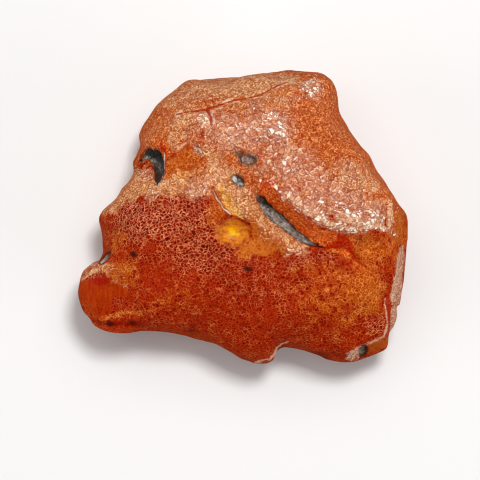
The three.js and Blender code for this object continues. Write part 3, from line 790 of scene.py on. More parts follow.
def amberMaterial():
    # a crackled crust, dull or glossy from place to place, with a clear chip in it
    look = amberLook
    cover, damping, shown = look["cover"], look["damping"], look["shown"]
    recipe = Recipe("amber")
    place = recipe.place()
    drift = recipe.centred(recipe.noise(place, *look["drift"], "Color"))
    quiver = recipe.centred(recipe.noise(place, *look["quiver"], "Color"))
    warped = recipe.vector("ADD", place, recipe.times(drift, look["driftWarp"]))
    warped = recipe.vector("ADD", warped, recipe.times(quiver, look["quiverWarp"]))
    leaning = recipe.turned(warped, look["flakeTurn"], look["flakeStretch"])
    patchy = recipe.noise(place, *look["patchy"])
    mottle = recipe.patches(place, *look["mottle"])

    # cells of the crust: the zones' borders jump from cell to cell
    toss = recipe.cells(warped, look["cell"], "Color").between(0, 1)
    gap = recipe.cells(warped, look["cell"], "Distance")
    tinyGap = recipe.cells(warped, look["tinyCell"], "Distance")
    zone = {name: recipe.layer(name) for name in zones}
    jump = (toss - 0.5) * look["cellJump"] + (patchy - 0.5) * look["patchJump"]
    for name in look["zones"]:
        jumped = zone[name] + jump * zone[name].between(*look["jumpRise"])
        zone[name] = jumped.between(*look["zoneRise"])
    upper = (zone["gold"] + zone["rose"] + zone["orange"]).between(0, 1)

    # lines round the cells, broken and uneven, and finer wavy ones on the upper half
    wave = recipe.noise(warped, *look["wave"], "Color").parts()
    wavy = 1 - (wave[0] - 0.5).size().between(*look["wavyLine"])
    furrows = 1 - (wave[1] - 0.5).size().between(*look["furrow"])
    lines = (1 - gap.between(*look["netLine"])) * patchy.rising(*shown["net"])
    tinyLines = (1 - tinyGap.between(*look["tinyLine"])) * patchy.rising(*shown["tinyNet"])
    tinyLines = tinyLines.orMore(wavy * cover["wavyLine"])
    net = lines + (tinyLines - lines) * upper
    net = net * (1 - zone["smooth"] * damping["smoothNet"]) * (1 - zone["rose"] * damping["roseNet"])

    # colours of the ground and of the lines on it
    deep, ground, line = look["plain"]
    for name, (zoneDeep, zoneGround, zoneLine) in look["zones"].items():
        deep = recipe.mix(zone[name], deep, zoneDeep)
        ground = recipe.mix(zone[name], ground, zoneGround)
        line = recipe.mix(zone[name], line, zoneLine)
    line = recipe.coated(
        line,
        (recipe.patches(place, *look["hue"]) * cover["goldLine"], look["goldLine"]),
        # whitened in the glint zone: a painted highlight
        (zone["glint"] * cover["glintLine"], look["glintColour"]),
        # paled on the brow, partly a painted sheen on its lit top
        (zone["paleNet"] * cover["paleNet"], look["paleNet"]),
    )

    # which cells, plates, grains or stripes are darker
    plateGap = recipe.cells(warped, look["plate"], "Distance")
    plateToss = recipe.cells(warped, look["plate"], "Color").between(0, 1)
    grit = recipe.patches(place, *look["grit"])
    stretched = recipe.vector("MULTIPLY", place, look["stripeStretch"])
    stripes = recipe.patches(stretched, *look["stripe"])
    part = look["tone"]
    tone = toss.between(*look["cellTone"]) * part["cell"] + mottle * part["mottle"]
    tone = tone + (plateToss - tone) * weighed(zone, look["plated"]) * part["plate"]
    tone = tone + (grit - tone) * zone["chalk"] * part["grit"]
    tone = tone + (stripes * part["stripe"] + grit * part["stripeGrit"] - tone) * zone["smooth"]

    # painted highlights, pale rims of the plates on the side towards the light, and dark seams between them
    offMiddle = recipe.vector("SUBTRACT", warped, recipe.cells(warped, look["plate"], "Position"))
    litRim = recipe.vector("DOT_PRODUCT", offMiddle, look["towardsLight"], "Value")
    litRim = litRim.between(*look["litSide"])
    litRim = litRim * plateGap.between(*look["litStart"]) * plateGap.between(*look["litEnd"])
    rimmed = zone["rose"] + zone["gold"] * cover["goldRim"]
    litRim = litRim * plateToss.between(*look["litPlates"]) * rimmed
    seams = (1 - plateGap.between(*look["seam"])) * patchy.between(*shown["seam"])
    seams = seams.orMore(furrows * cover["furrow"]) * upper * (1 - zone["smooth"])

    # loose flakes that catch the light, painted white as highlights where they glint, with a dark ring of
    # painted shade round each
    flakeToss = recipe.cells(leaning, look["flake"], "Color")
    flakeGap = recipe.cells(leaning, look["flake"], "Distance")
    chance = flakeToss.between(0, 1) + zone["glint"] * look["flakeShare"]
    glintFlakes = chance.between(*look["flakeToss"]) * flakeGap.between(*look["flakeEdge"])
    flakeShadeRings = flakeGap.between(*look["flakeShadeRing"]) * zone["glint"]

    # lines of the front: pale ones, painted highlights along edge crests; sharp edges, with a painted
    # highlight along them and a painted shadow beside them; and the crack with what lies beside it
    rimShade = recipe.layer("rimShade")
    edgeGap = recipe.layer("edgeGap")
    crackGap = recipe.layer("crackGap")
    pale = unevenLine(recipe.layer("paleGap"), mottle, *look["paleLine"])
    edge = unevenLine(edgeGap, mottle, *look["edgeLine"])
    crack = unevenLine(crackGap, mottle, *look["crackLine"])
    beside = crackGap.between(*look["besideRise"]) * crackGap.between(*look["besideFall"])
    beside = beside * patchy.between(*shown["beside"])
    paint = recipe.coated(
        recipe.mix(tone, deep, ground),
        (net, line),
        # painted highlights on the plates' rims towards the light
        (litRim, look["plateRim"]),
        (seams * cover["seam"], deep),
        # painted shade, darker towards the rim
        (rimShade * (cover["rimShadeTone"] + cover["rimMottle"] * mottle), look["rimShadeTone"]),
        # a dark ring round each glinting flake: painted shade
        (flakeShadeRings * cover["flakeShadeRing"], deep),
        # the glinting flakes painted white: painted highlights
        (glintFlakes * cover["flake"], look["glintColour"]),
        # painted highlights along edge crests
        (pale * mottle.atLeast(cover["paleLeast"]), look["paleEdge"]),
        (edgeGap.between(*look["edgeShadowRise"]) * cover["edgeShadow"], look["edgeShadow"]),
        # painted highlights along sharp edges
        (edge * patchy.rising(*shown["edge"]), look["edge"]),
        (beside * cover["besideCrack"], look["plateRim"]),
        (crack, look["crack"]),
        # stains, and painted shade under the bottom edge and in and round the hollows
        (zone["stainAndShade"], look["stainAndShade"]),
    )

    # every flake leans its own way, so some of them catch the light
    offFlake = recipe.vector("SUBTRACT", leaning, recipe.cells(leaning, look["flake"], "Position"))
    lean = recipe.vector("DOT_PRODUCT", recipe.centred(flakeToss), offFlake, "Value")
    height = lean * look["flakeTilt"] * zone["rose"].atLeast(look["plainTilt"]) + net * look["netHeight"]
    height = height + mottle * look["mottleHeight"] + glintFlakes * look["flakeHeight"]
    crustBump = recipe.bump(height * (1 - zone["smooth"] * damping["smoothRelief"]))
    crustSkin = {"Base Color": paint, "Normal": crustBump}
    dull = recipe.skin({**crustSkin, **look["dull"]})
    glossy = recipe.skin({**crustSkin, **look["glossy"]})
    shine = (weighed(zone, look["shiny"]) + glintFlakes).between(0, 1)
    shine = shine * (1 - zone["stainAndShade"]) * (1 - zone["ember"]) * (1 - zone["honey"] * damping["honeyShine"])
    crust = recipe.blend(shine * (1 - rimShade * damping["rimShine"]), dull, glossy)

    # clear chip: yellow where it is deepest, with streaks inside it, and crackled at its edge
    squeezed = recipe.vector("MULTIPLY", warped, look["streakSqueeze"])
    streaks = recipe.noise(squeezed, *look["streak"]) - 0.5
    depth = zone["core"] + streaks * look["streakDepth"]
    clearPaint = recipe.coated(
        recipe.mix(depth.between(*look["middleDepth"]), look["clearRim"], look["clearMiddle"]),
        (depth.between(*look["coreDepth"]), look["clearCore"]),
        (net * depth.between(*look["netDepth"]) * cover["clearNet"], look["goldLine"]),
    )
    clearBump = recipe.bump(streaks * look["streakHeight"])
    clear = recipe.skin({"Base Color": clearPaint, "Normal": clearBump, **look["clear"]})
    clearness = zone["clear"] - edgeGap.between(*look["clearBesideEdge"]) - net * look["clearUnderNet"]
    clearness = clearness + (patchy - 0.5) * look["clearPatches"]
    volume = recipe.node("ShaderNodeVolumeAbsorption", {}, look["inside"])
    return recipe.finish(recipe.blend(clearness.between(*look["clearRise"]), crust, clear), volume)


# Zones of the front, with how soft their edge is: spots (place, two radii in mm, turn in degrees, strength)
# and strokes, which are paths (place, half width in mm, strength)
zones = {
    "maroon": {
        "soft": 0.6,
        "spots": [
            (-0.5, -0.02, 8, 4, 0, 0.9), (-0.25, -0.2, 8, 5, -5, 0.8), (0.1, -0.45, 9, 4, 0, 0.35),
            (-0.75, -0.1, 3, 3, 0, 0.6), (0.8, -0.73, 1.7, 1.6, 0, 0.8),
        ],
    },
    "honey": {
        "soft": 0.7,
        "spots": [
            (0.74, -0.5, 3.4, 3.6, 0, 1), (0.78, -0.22, 4.2, 2.4, 0, 0.9), (0.93, -0.05, 1.5, 4, 10, 1),
            (-0.73, -0.38, 2.4, 2.2, 0, 0.7), (-0.93, -0.64, 1.2, 1.4, 0, 0.5),
            (-0.4, -0.55, 5, 2, 10, 0.35), (0.6, -0.5, 7, 6, 0, 0.5), (-0.77, -0.17, 1.6, 2, 0, 0.6),
            (-0.15, 0.055, 1.6, 2.4, -20, 1),
        ],
        "strokes": [
            [(-0.322, 0.48, 0.3, 1), (-0.33, 0.43, 1.3, 1), (-0.345, 0.38, 2, 1)],
            [(-0.86, -0.69, 0.25, 0.8), (-0.78, -0.67, 0.35, 1), (-0.7, -0.65, 0.35, 1),
             (-0.6, -0.655, 0.3, 0.7)],
            [(0.52, -0.225, 0.2, 1), (0.57, -0.232, 0.3, 1), (0.62, -0.25, 0.3, 1),
             (0.656, -0.285, 0.25, 1), (0.69, -0.32, 0.3, 1), (0.72, -0.35, 0.3, 0.9)],
            [(0.73, -0.3, 0.2, 0.9), (0.765, -0.32, 0.35, 1), (0.81, -0.34, 0.2, 0.8)],
            [(-0.465, 0.27, 0.4, 0.9), (-0.41, 0.35, 1.5, 1), (-0.34, 0.37, 1.9, 1), (-0.25, 0.36, 1.3, 1)],
        ],
    },
    "orange": {
        "soft": 0.5,
        "spots": [
            (0.3, 0.5, 16, 13, -45, 1), (0.45, 0.75, 6, 7, 0, 1), (0.7, 0.25, 8, 6, -40, 1),
            (-0.45, 0.65, 8, 7, 30, 0.9), (-0.1, 0.4, 7, 6, 0, 1),
        ],
        "strokes": [[(-0.6, 0.5, 0.8, 0.8), (-0.56, 0.68, 1, 1), (-0.48, 0.8, 1.2, 0.8)]],
    },
    "gold": {
        "soft": 0.6,
        "spots": [
            (-0.36, 0.66, 3.4, 2.2, 20, 0.7), (-0.3, 0.2, 3, 1.6, 5, 1), (0.13, 0.76, 5, 2, 10, 0.6),
            (0.66, 0.27, 3.4, 2.6, -40, 0.9),
        ],
        "strokes": [
            [(-0.5, 0.8, 1.6, 0.6), (-0.25, 0.88, 2, 0.8), (0.05, 0.9, 2.2, 1), (0.3, 0.95, 1.4, 0.8)],
            [(-0.22, 0.4, 2, 1), (-0.12, 0.26, 1.9, 1), (0.02, 0.08, 1.7, 1), (0.14, -0.06, 1.8, 1),
             (0.26, -0.17, 1.5, 1), (0.36, -0.23, 1.2, 0.7)],
            [(-0.82, 0.05, 1, 0.8), (-0.7, 0.17, 1.4, 0.9), (-0.5, 0.21, 1.4, 1), (-0.36, 0.22, 1.4, 1)],
            [(-0.66, 0.3, 1.2, 0.8), (-0.6, 0.24, 1.3, 0.9)],
            [(-0.42, 0.6, 0.8, 0.6), (-0.43, 0.53, 1, 0.7), (-0.4, 0.47, 0.6, 0.6)],
            [(-0.46, 0.25, 0.5, 1), (-0.42, 0.295, 0.7, 1), (-0.33, 0.3, 0.7, 1), (-0.24, 0.31, 0.4, 1)],
            [(-0.98, -0.42, 0.3, 0.8), (-0.93, -0.38, 0.4, 0.9), (-0.866, -0.35, 0.5, 0.9),
             (-0.82, -0.345, 0.7, 1)],
            [(-0.81, -0.36, 0.5, 0.9), (-0.8, -0.42, 0.3, 0.8), (-0.76, -0.46, 0.22, 0.8),
             (-0.71, -0.485, 0.2, 0.9), (-0.705, -0.51, 0.12, 0.7)],
            [(-0.9, -0.4, 0.15, 0.8), (-0.89, -0.44, 0.1, 0.7)],
            [(0.87, 0.1, 0.6, 0.8), (0.9, 0.03, 0.9, 1), (0.92, -0.06, 0.8, 1), (0.93, -0.13, 0.4, 0.8)],
            [(-0.82, -0.33, 0.4, 0.9), (-0.77, -0.34, 0.4, 0.8), (-0.73, -0.38, 0.3, 0.7)],
        ],
    },
    # pale pink that partly stands in for sheen, a painted sheen
    "rose": {
        "soft": 0.6,
        "spots": [
            (-0.1, 0.56, 5, 3.2, 0, 0.9), (0.14, 0.6, 4.6, 3.4, 0, 0.9), (0.41, 0.86, 1.8, 1.5, 0, 0.9),
            (0.26, 0.36, 6, 3.6, -25, 0.7), (0.56, 0.1, 8, 3, -18, 0.9), (-0.27, 0.18, 2, 1.5, 0, 0.7),
            (-0.57, 0.29, 1.2, 1.4, 0, 0.7), (0.32, -0.23, 1.8, 1.2, 0, 0.5),
            (0.78, 0.02, 2.6, 2.4, 0, 0.8), (-0.55, 0.15, 2, 1, 30, 0.6), (0.64, 0.3, 3, 2.2, -40, 0.5),
            (-0.22, 0.65, 1.8, 1.3, 0, 0.9),
        ],
        "strokes": [[(-0.97, -0.38, 0.3, 0.6), (-0.92, -0.33, 0.5, 0.7), (-0.87, -0.31, 0.4, 0.6)]],
    },
    "yellow": {
        "soft": 0.6,
        "spots": [(-0.36, 0.285, 1.6, 0.8, -12, 0.45)],
        "strokes": [
            [(-0.15, 0.2, 0.25, 0.8), (-0.126, 0.185, 0.5, 1), (-0.091, 0.117, 0.7, 1),
             (-0.05, 0.042, 0.65, 1), (-0.026, 0.015, 0.3, 0.9)],
            [(-0.06, 0.1, 0.3, 0.8), (-0.035, 0.045, 0.4, 1), (-0.008, -0.01, 0.3, 0.9)],
        ],
    },
    "tail": {
        "soft": 0.6,
        "spots": [
            (0.13, -0.19, 3, 1.7, -12, 1), (0.02, -0.22, 2, 1.4, 20, 0.9), (0.83, -0.875, 2, 1, 12, 0.9),
        ],
        "strokes": [
            [(0.055, -0.02, 0.5, 0.9), (0.075, -0.08, 0.7, 1), (0.09, -0.14, 0.9, 1)],
            [(-0.13, -0.06, 0.4, 0.8), (-0.13, -0.12, 0.7, 0.9), (-0.1, -0.17, 0.5, 0.8)],
            [(0.93, 0.02, 0.4, 0.8), (0.955, -0.06, 0.5, 0.9), (0.955, -0.15, 0.4, 0.8)],
        ],
    },
    "ember": {
        "soft": 0.5,
        "spots": [
            (0.83, -0.2, 2.4, 1.6, 0, 0.25), (0.15, 0.2, 1.2, 1.4, 0, 1), (-0.476, 0.45, 0.9, 1.7, 15, 0.7),
        ],
        "strokes": [
            [(0.15, 0.17, 1, 1), (0.22, 0.07, 1.4, 1), (0.32, -0.03, 1.5, 1), (0.46, -0.13, 1.3, 0.8),
             (0.64, -0.2, 1.4, 0.6)],
        ],
    },
    "smooth": {
        "soft": 0.4,
        "spots": [
            (-0.9, -0.5, 2.5, 2.1, 0, 1), (-0.78, -0.51, 2, 1.1, 0, 0.9), (-0.88, -0.61, 2.4, 1.6, 0, 0.6),
            (0.81, -0.885, 2.2, 1, 12, 0.5),
        ],
        "strokes": [[(-0.19, 0.12, 0.6, 0.45), (-0.15, 0.03, 0.8, 0.4), (-0.13, -0.04, 0.6, 0.4)]],
    },
    # deep red, partly painted shade on cliff faces, in a crease and under the bottom edge
    "deepRed": {
        "soft": 0.5,
        "spots": [
            (-0.87, -0.43, 1.7, 0.8, 0, 0.9), (-0.481, 0.465, 0.45, 0.85, 20, 0.8),
            (0.44, -0.9, 1.2, 0.6, -10, 0.7),
        ],
        "strokes": [
            [(-0.88, -0.725, 0.4, 0.7), (-0.8, -0.735, 0.6, 1), (-0.65, -0.735, 0.6, 1),
             (-0.55, -0.745, 0.4, 0.6)],
            [(0.4, -0.92, 0.3, 0.8), (0.48, -0.95, 0.4, 1), (0.56, -0.975, 0.4, 1)],
            [(0.66, -0.255, 0.25, 0.9), (0.7, -0.3, 0.2, 0.8), (0.755, -0.35, 0.15, 0.7)],
            [(0.895, -0.42, 0.2, 0.5), (0.885, -0.5, 0.25, 0.6), (0.888, -0.6, 0.35, 0.7),
             (0.888, -0.7, 0.3, 0.5)],
        ],
    },
    "scarlet": {
        "soft": 0.5,
        "strokes": [
            [(0.49, -0.207, 0.2, 0.9), (0.54, -0.19, 0.5, 1), (0.59, -0.175, 0.8, 1),
             (0.65, -0.185, 0.5, 1)],
            [(0.575, -0.12, 0.3, 0.8), (0.61, -0.15, 0.6, 1), (0.645, -0.2, 0.6, 1),
             (0.67, -0.255, 0.3, 0.9)],
        ],
    },
    "ash": {
        "soft": 0.9,
        "strokes": [
            [(-0.06, 0.45, 0.3, 0.7), (-0.01, 0.405, 0.8, 1), (0.045, 0.38, 1, 1), (0.08, 0.39, 0.6, 0.8)],
            [(0.08, 0.145, 0.25, 0.7), (0.1, 0.12, 0.5, 1)],
        ],
    },
    # pale lines, partly a painted sheen on the lit top of the brow
    "paleNet": {
        "soft": 0.8,
        "spots": [
            (-0.55, 0.03, 4.6, 2.2, -5, 0.9), (-0.33, 0.08, 4, 2, 0, 0.8), (-0.93, -0.4, 2, 1, 30, 1),
        ],
        "strokes": [[(0.3, -0.3, 1, 0.6), (0.45, -0.27, 0.8, 0.7), (0.55, -0.3, 0.8, 0.6)]],
    },
    # pale cream, partly a painted highlight on the lip, the crest and the pale plates
    "cream": {
        "soft": 0.6,
        "spots": [
            (-0.22, 0.655, 1, 0.8, 0, 1), (0.41, 0.87, 1.3, 1, 30, 0.6), (-0.045, 0.53, 1.2, 1.2, 0, 0.4),
            (0.19, 0.59, 2, 1.8, -30, 0.3), (0.62, -0.01, 3.5, 1, -10, 0.7), (0.8, -0.02, 1.3, 1.2, 0, 0.8),
            (0.36, -0.225, 1.2, 0.6, 0, 0.35), (-0.28, 0.155, 1.4, 0.6, 0, 0.6),
            (0.3, 0.44, 1.6, 1, -40, 0.5),
        ],
        "strokes": [
            [(0.25, 0.15, 0.4, 0.6), (0.36, 0.06, 0.5, 0.8), (0.5, -0.04, 0.5, 1), (0.64, -0.08, 0.4, 1),
             (0.76, -0.055, 0.5, 1), (0.87, -0.08, 0.4, 0.9)],
            [(0.875, 0.08, 0.35, 0.9), (0.9, -0.01, 0.4, 1), (0.89, -0.07, 0.4, 0.9)],
            [(-0.975, -0.43, 0.15, 0.8), (-0.93, -0.385, 0.25, 0.9), (-0.87, -0.355, 0.2, 0.8)],
        ],
    },
    "chalk": {
        "soft": 0.35,
        "spots": [(0.667, -0.935, 1.2, 0.9, 30, 0.8)],
        "strokes": [
            [(0.975, -0.2, 0.25, 0.7), (0.968, -0.26, 0.5, 0.9), (0.957, -0.318, 0.7, 1),
             (0.942, -0.405, 0.8, 1), (0.935, -0.535, 0.75, 1), (0.932, -0.59, 0.5, 0.8)],
            [(0.925, -0.63, 0.55, 1), (0.925, -0.7, 0.65, 1), (0.918, -0.79, 0.5, 0.9)],
        ],
    },
    # where flakes and lines are painted white as highlights
    "glint": {
        "soft": 0.7,
        "spots": [
            (0.19, 0.59, 2, 1.8, -30, 1), (0.28, 0.48, 0.8, 0.6, 0, 0.9), (0.41, 0.87, 1.5, 1, 30, 1),
            (0.365, 0.8, 1, 0.5, 0, 1), (-0.23, 0.655, 1, 0.7, 0, 1), (-0.27, 0.465, 0.9, 0.5, -35, 1),
            (-0.045, 0.53, 1.2, 1.2, 0, 0.6), (0.06, 0.55, 3, 2.4, 0, 0.3), (0.32, 0.3, 5, 3, 0, 0.25),
            (0.6, 0.02, 5.5, 1.8, -12, 0.6), (0.8, 0, 1.6, 1.6, 0, 0.6), (-0.27, 0.14, 1.4, 1, 0, 0.1),
        ],
        "strokes": [
            [(0.104, 0.24, 0.4, 0.7), (0.193, 0.21, 0.4, 0.8), (0.263, 0.115, 0.4, 0.9),
             (0.334, 0.062, 0.4, 1), (0.399, -0.008, 0.4, 1), (0.458, -0.04, 0.45, 1),
             (0.517, -0.07, 0.45, 1), (0.635, -0.088, 0.5, 1), (0.753, -0.064, 0.5, 1),
             (0.87, -0.085, 0.4, 0.9), (0.93, -0.12, 0.3, 0.8)],
        ],
    },
    "clear": {"soft": 0.5, "spots": [(-0.045, -0.105, 2.8, 2.1, 10, 1.1)]},
    "core": {
        "soft": 0.9,
        "spots": [(-0.058, -0.1, 1.25, 0.6, -28, 1.1), (-0.055, -0.125, 2.6, 1.7, 10, 0.5)],
        "strokes": [[(0.03, -0.16, 0.3, 0.8), (0.055, -0.11, 0.35, 0.8), (0.06, -0.06, 0.3, 0.8)]],
    },
    # stains, and painted shade in the pin hole, in the notch and under the bottom edge
    "stainAndShade": {
        "soft": 0.5,
        "spots": [
            (0.032, -0.349, 0.7, 0.45, -20, 0.85), (-0.657, -0.253, 0.5, 0.55, 20, 1),
            (-0.8, -0.725, 0.6, 0.45, 0, 0.8), (-0.67, -0.72, 0.6, 0.45, 0, 0.8),
            (-0.31, -0.79, 0.8, 0.3, 0, 0.6), (0.237, -0.907, 0.6, 0.25, 35, 0.9),
            (0, 0.43, 0.7, 0.5, 0, 0.6), (0.48, -0.945, 1.6, 0.4, -14, 0.5),
        ],
    },
}

# Lines of the front: a place and half the width in mm
frontLines = {
    "crackGap": [
        [(x, y, 0.12) for x, y, height, width in stripCrack],
        [(x, y, 0.2) for x, y, height, width in crackBranch],
    ],
    # painted highlights along edge crests
    "paleGap": [
        [(0.87, -0.555, 0.1), (0.872, -0.69, 0.16), (0.87, -0.759, 0.18), (0.854, -0.807, 0.18),
         (0.816, -0.833, 0.17), (0.777, -0.85, 0.16), (0.718, -0.868, 0.16), (0.679, -0.885, 0.16),
         (0.625, -0.92, 0.12)],
        [(0.908, -0.45, 0.08), (0.906, -0.54, 0.14), (0.91, -0.6, 0.1)],
        [(0.655, -0.98, 0.1), (0.68, -0.92, 0.14), (0.72, -0.885, 0.1)],
        [(0.63, -0.96, 0.1), (0.65, -0.92, 0.12), (0.69, -0.89, 0.08)],
        [(0.076, -0.994, 0.12), (0.162, -0.985, 0.12), (0.19, -0.952, 0.12), (0.2, -0.924, 0.12),
         (0.215, -0.897, 0.12), (0.243, -0.872, 0.12), (0.28, -0.86, 0.1)],
        [(-0.402, 0.445, 0.08), (-0.365, 0.475, 0.26), (-0.325, 0.505, 0.08)],
        [(-0.2, 0.372, 0.08), (-0.17, 0.335, 0.25), (-0.14, 0.305, 0.12)],
    ],
    # sharp edges, with a painted highlight along them and a painted shadow beside them
    "edgeGap": [
        [(-0.476, 0.436, 0.1), (-0.472, 0.381, 0.13), (-0.473, 0.32, 0.13), (-0.481, 0.274, 0.13),
         (-0.508, 0.216, 0.08)],
        [(-0.187, 0.186, 0.06), (-0.164, 0.138, 0.13), (-0.14, 0.094, 0.15), (-0.114, 0.055, 0.12),
         (-0.09, 0.03, 0.17), (-0.07, 0.017, 0.1)],
        [(-0.292, 0.494, 0.06), (-0.272, 0.47, 0.14), (-0.245, 0.435, 0.11), (-0.235, 0.42, 0.05)],
    ],
}


# Zones of the back, laid out as seen through the front
backZones = {
    "maroon": {"soft": 0.7, "spots": [(-0.35, 0.1, 7, 5, 20, 0.8), (0.45, -0.4, 6, 4, 0, 0.6)]},
    "honey": {
        "soft": 0.7,
        "spots": [(0.5, 0.3, 6, 5, 0, 0.9), (-0.5, -0.5, 4, 3, 0, 0.8), (-0.1, 0.6, 3, 4, 0, 0.5)],
        "strokes": [[(-0.2, -0.3, 1, 0.8), (0.05, -0.1, 1.5, 1), (0.3, 0.05, 1, 0.8)]],
    },
    "orange": {"soft": 0.7, "spots": [(-0.2, 0.65, 8, 3, 0, 0.9), (0.75, -0.1, 3, 6, 0, 0.8)]},
    "gold": {
        "soft": 0.6,
        "spots": [(0.05, -0.6, 5, 2, 10, 0.9), (0.3, 0.55, 3, 2, 0, 0.7)],
        "strokes": [[(-0.75, 0.2, 0.8, 0.8), (-0.5, 0.35, 1.2, 1), (-0.25, 0.35, 0.8, 0.8)]],
    },
    "rose": {"soft": 0.6, "spots": [(0.1, 0.25, 4, 3, 30, 0.8), (-0.55, -0.15, 2.5, 2, 0, 0.6)]},
    # where flakes and lines are painted white as highlights
    "glint": {"soft": 0.7, "spots": [(0.1, 0.25, 2.5, 1.5, 30, 0.6), (0.05, -0.6, 3, 1, 10, 0.4)]},
    "stainAndShade": {
        "soft": 0.5,
        "spots": [
            (-0.3, -0.55, 0.7, 0.5, 0, 0.8), (0.6, 0.05, 0.5, 0.5, 0, 0.8), (0.15, 0.7, 0.5, 0.8, 20, 0.7),
        ],
    },
}


def zoneValue(zone, x, y, ragged):
    # strongest of the zone's spots and strokes, each 1 inside, 0 outside, soft and ragged at the edge
    soft = zone["soft"]
    marks = [(spotDistance(spot, x, y), spot[5]) for spot in zone.get("spots", ())]
    for path in zone.get("strokes", ()):
        distance, (half, strength) = nearest(path, x, y)
        marks.append((abs(distance) / half, strength))
    value = np.zeros(np.shape(x))
    for distance, strength in marks:
        distance = distance + soft * zoneRaggedness * ragged
        value = np.maximum(value, strength * eased((1 + soft - distance) / (2 * soft)))
    return value


def lineGap(paths, x, y):
    # distance from the nearest line, in its own half widths
    found = np.full(np.shape(x), farAway)
    for path in paths:
        distance, (half,) = nearest(path, x, y)
        found = np.minimum(found, abs(distance) / half)
    return found


hollows = {
    "depth": 1.5,  # mm, of the lump's own surface under the dark matter
    "rim": 0.88,  # share of a hollow's radius where its wall starts
    "wall": 0.4,  # share of a hollow's radius over which its wall drops
    "ragged": 0.26,
    # the two long hollows as they show, as paths with half their width in mm
    "pocket": [
        (-0.6, 0.405, 0.55), (-0.57, 0.425, 0.95), (-0.53, 0.41, 1.2), (-0.508, 0.36, 1.05),
        (-0.508, 0.3, 0.9), (-0.516, 0.25, 0.55), (-0.52, 0.225, 0.3),
    ],
    "crevice": [
        (0.112, 0.112, 0.45), (0.127, 0.083, 0.72), (0.168, 0.025, 0.85), (0.218, -0.018, 0.8),
        (0.267, -0.067, 0.7), (0.31, -0.114, 0.62), (0.36, -0.148, 0.5), (0.4, -0.177, 0.34),
        (0.462, -0.203, 0.15), (0.487, -0.208, 0.1),
    ],
    # a hollow that reaches the outline closes above it
    "closeStart": 0.989,  # shares of the way out
    "closeWidth": 0.009,
    "closedBy": 1.5,  # radii
    # painted shade on a hollow's wall and just round it, and stain
    "stainAndShade": 0.6,
    "stainAndShadeReach": 1.2,  # radii
    "stainAndShadeFade": 0.4,
}


def hollowDistance(x, y, ragged):
    # how far out each place is in the nearest hollow, where 1 is its ragged edge
    found = lineGap([hollows["crevice"], hollows["pocket"]], x, y)
    for name, pit in pits.items():
        if name != "left_pocket_fill":
            found = np.minimum(found, spotDistance(pit, x, y))
    return found + hollows["ragged"] * ragged


# The lump

crust = {
    # soft noises: sizes in mm, each with its height
    "ragged": [(1.6, 1), (0.7, 0.5)],  # at the edge of a zone
    "hollowRagged": [(0.6, 0.5)],  # and, on top of that, of a hollow
    "sway": [(6, 3.5), (2.2, 1.2)],  # mm
    "borderSway": [(4, 0.12)],
    "lineSway": [(0.9, 0.18)],  # mm
    "plateSway": [(1.1, 0.25)],  # mm
    "lumps": [(3.3, 0.13)],  # mm
    "pebbles": [(1.5, 0.07)],  # mm
    # on the back, shares of the way out
    "swayWidth": 0.03,  # from the rim inwards, over which the sway sets in
    "border": 0.72,  # where the front's zones start to take over from the back's
    "borderWidth": 0.2,
    # painted shade, darker towards the rim
    "rimStart": (0.93, 0.95),  # on the front and the back
    "rimWidth": 0.05,
    # plates, in mm
    "plate": 1.25,
    "plateTilt": 0.12,
    "seamDepth": 0.05,
    "seamWidth": 0.25,  # in plate sizes
    "plainShare": 0.3,  # of the plates' height, outside the rose zone
    "backEase": 1.2,  # above the floor, over which the relief sets in
}

ring, share = squareRings(lump["squares"])
frontOut = sectionOut(ring, True)
backOut = sectionOut(ring, False)
points, faces, inside = weld(bareSurface(share, frontOut, True), bareSurface(share, backOut, False))
normals = vertexNormals(points, faces)
isFront = np.arange(len(points)) < ring.size
outward = np.concatenate([frontOut.ravel(), backOut[inside]])
flatX = np.interp(share, rimShares, rimCurve[:, 0])
flatY = np.interp(share, rimShares, rimCurve[:, 1])
placeX = np.concatenate([(flatX * frontOut).ravel(), (flatX * backOut)[inside]])
placeY = np.concatenate([(flatY * frontOut).ravel(), (flatY * backOut)[inside]])
ragged = layeredNoise(points, crust["ragged"])

# below the rim the front's zones sway, and they give way to the back's at an uneven line
rimward = np.where(isFront, 1, outward)
sway = eased((1 - rimward) / crust["swayWidth"])
elsewhere = points + 50  # mm away, so that the sway along Y isn't the one along X
zoneX = placeX + sway * layeredNoise(points, crust["sway"])
zoneY = placeY + sway * layeredNoise(elsewhere, crust["sway"])
towardsFront = rimward + layeredNoise(points, crust["borderSway"]) - crust["border"]
frontShare = eased(towardsFront / crust["borderWidth"])
layers = {name: zoneValue(zone, zoneX, zoneY, ragged) * frontShare for name, zone in zones.items()}
for name, zone in backZones.items():
    value = zoneValue(zone, zoneX, zoneY, ragged) * (1 - frontShare)
    layers[name] = np.maximum(layers[name], value)
lineSway = layeredNoise(points, crust["lineSway"])
for name, paths in frontLines.items():
    layers[name] = np.where(isFront, lineGap(paths, placeX + lineSway, placeY + lineSway), farAway)

hollowOut = hollowDistance(placeX, placeY, ragged + layeredNoise(points, crust["hollowRagged"]))
closing = eased((outward - hollows["closeStart"]) / hollows["closeWidth"])
hollowOut = hollowOut + hollows["closedBy"] * closing
# painted shade and stain on the hollows' walls and just round them
stainAndShade = hollows["stainAndShade"] * eased((hollows["stainAndShadeReach"] - hollowOut) / hollows["stainAndShadeFade"])
layers["stainAndShade"] = np.maximum(layers["stainAndShade"], isFront * stainAndShade)
# painted shade, darker towards the rim, on the front and the back
layers["rimShade"] = eased((outward - np.where(isFront, *crust["rimStart"])) / crust["rimWidth"])

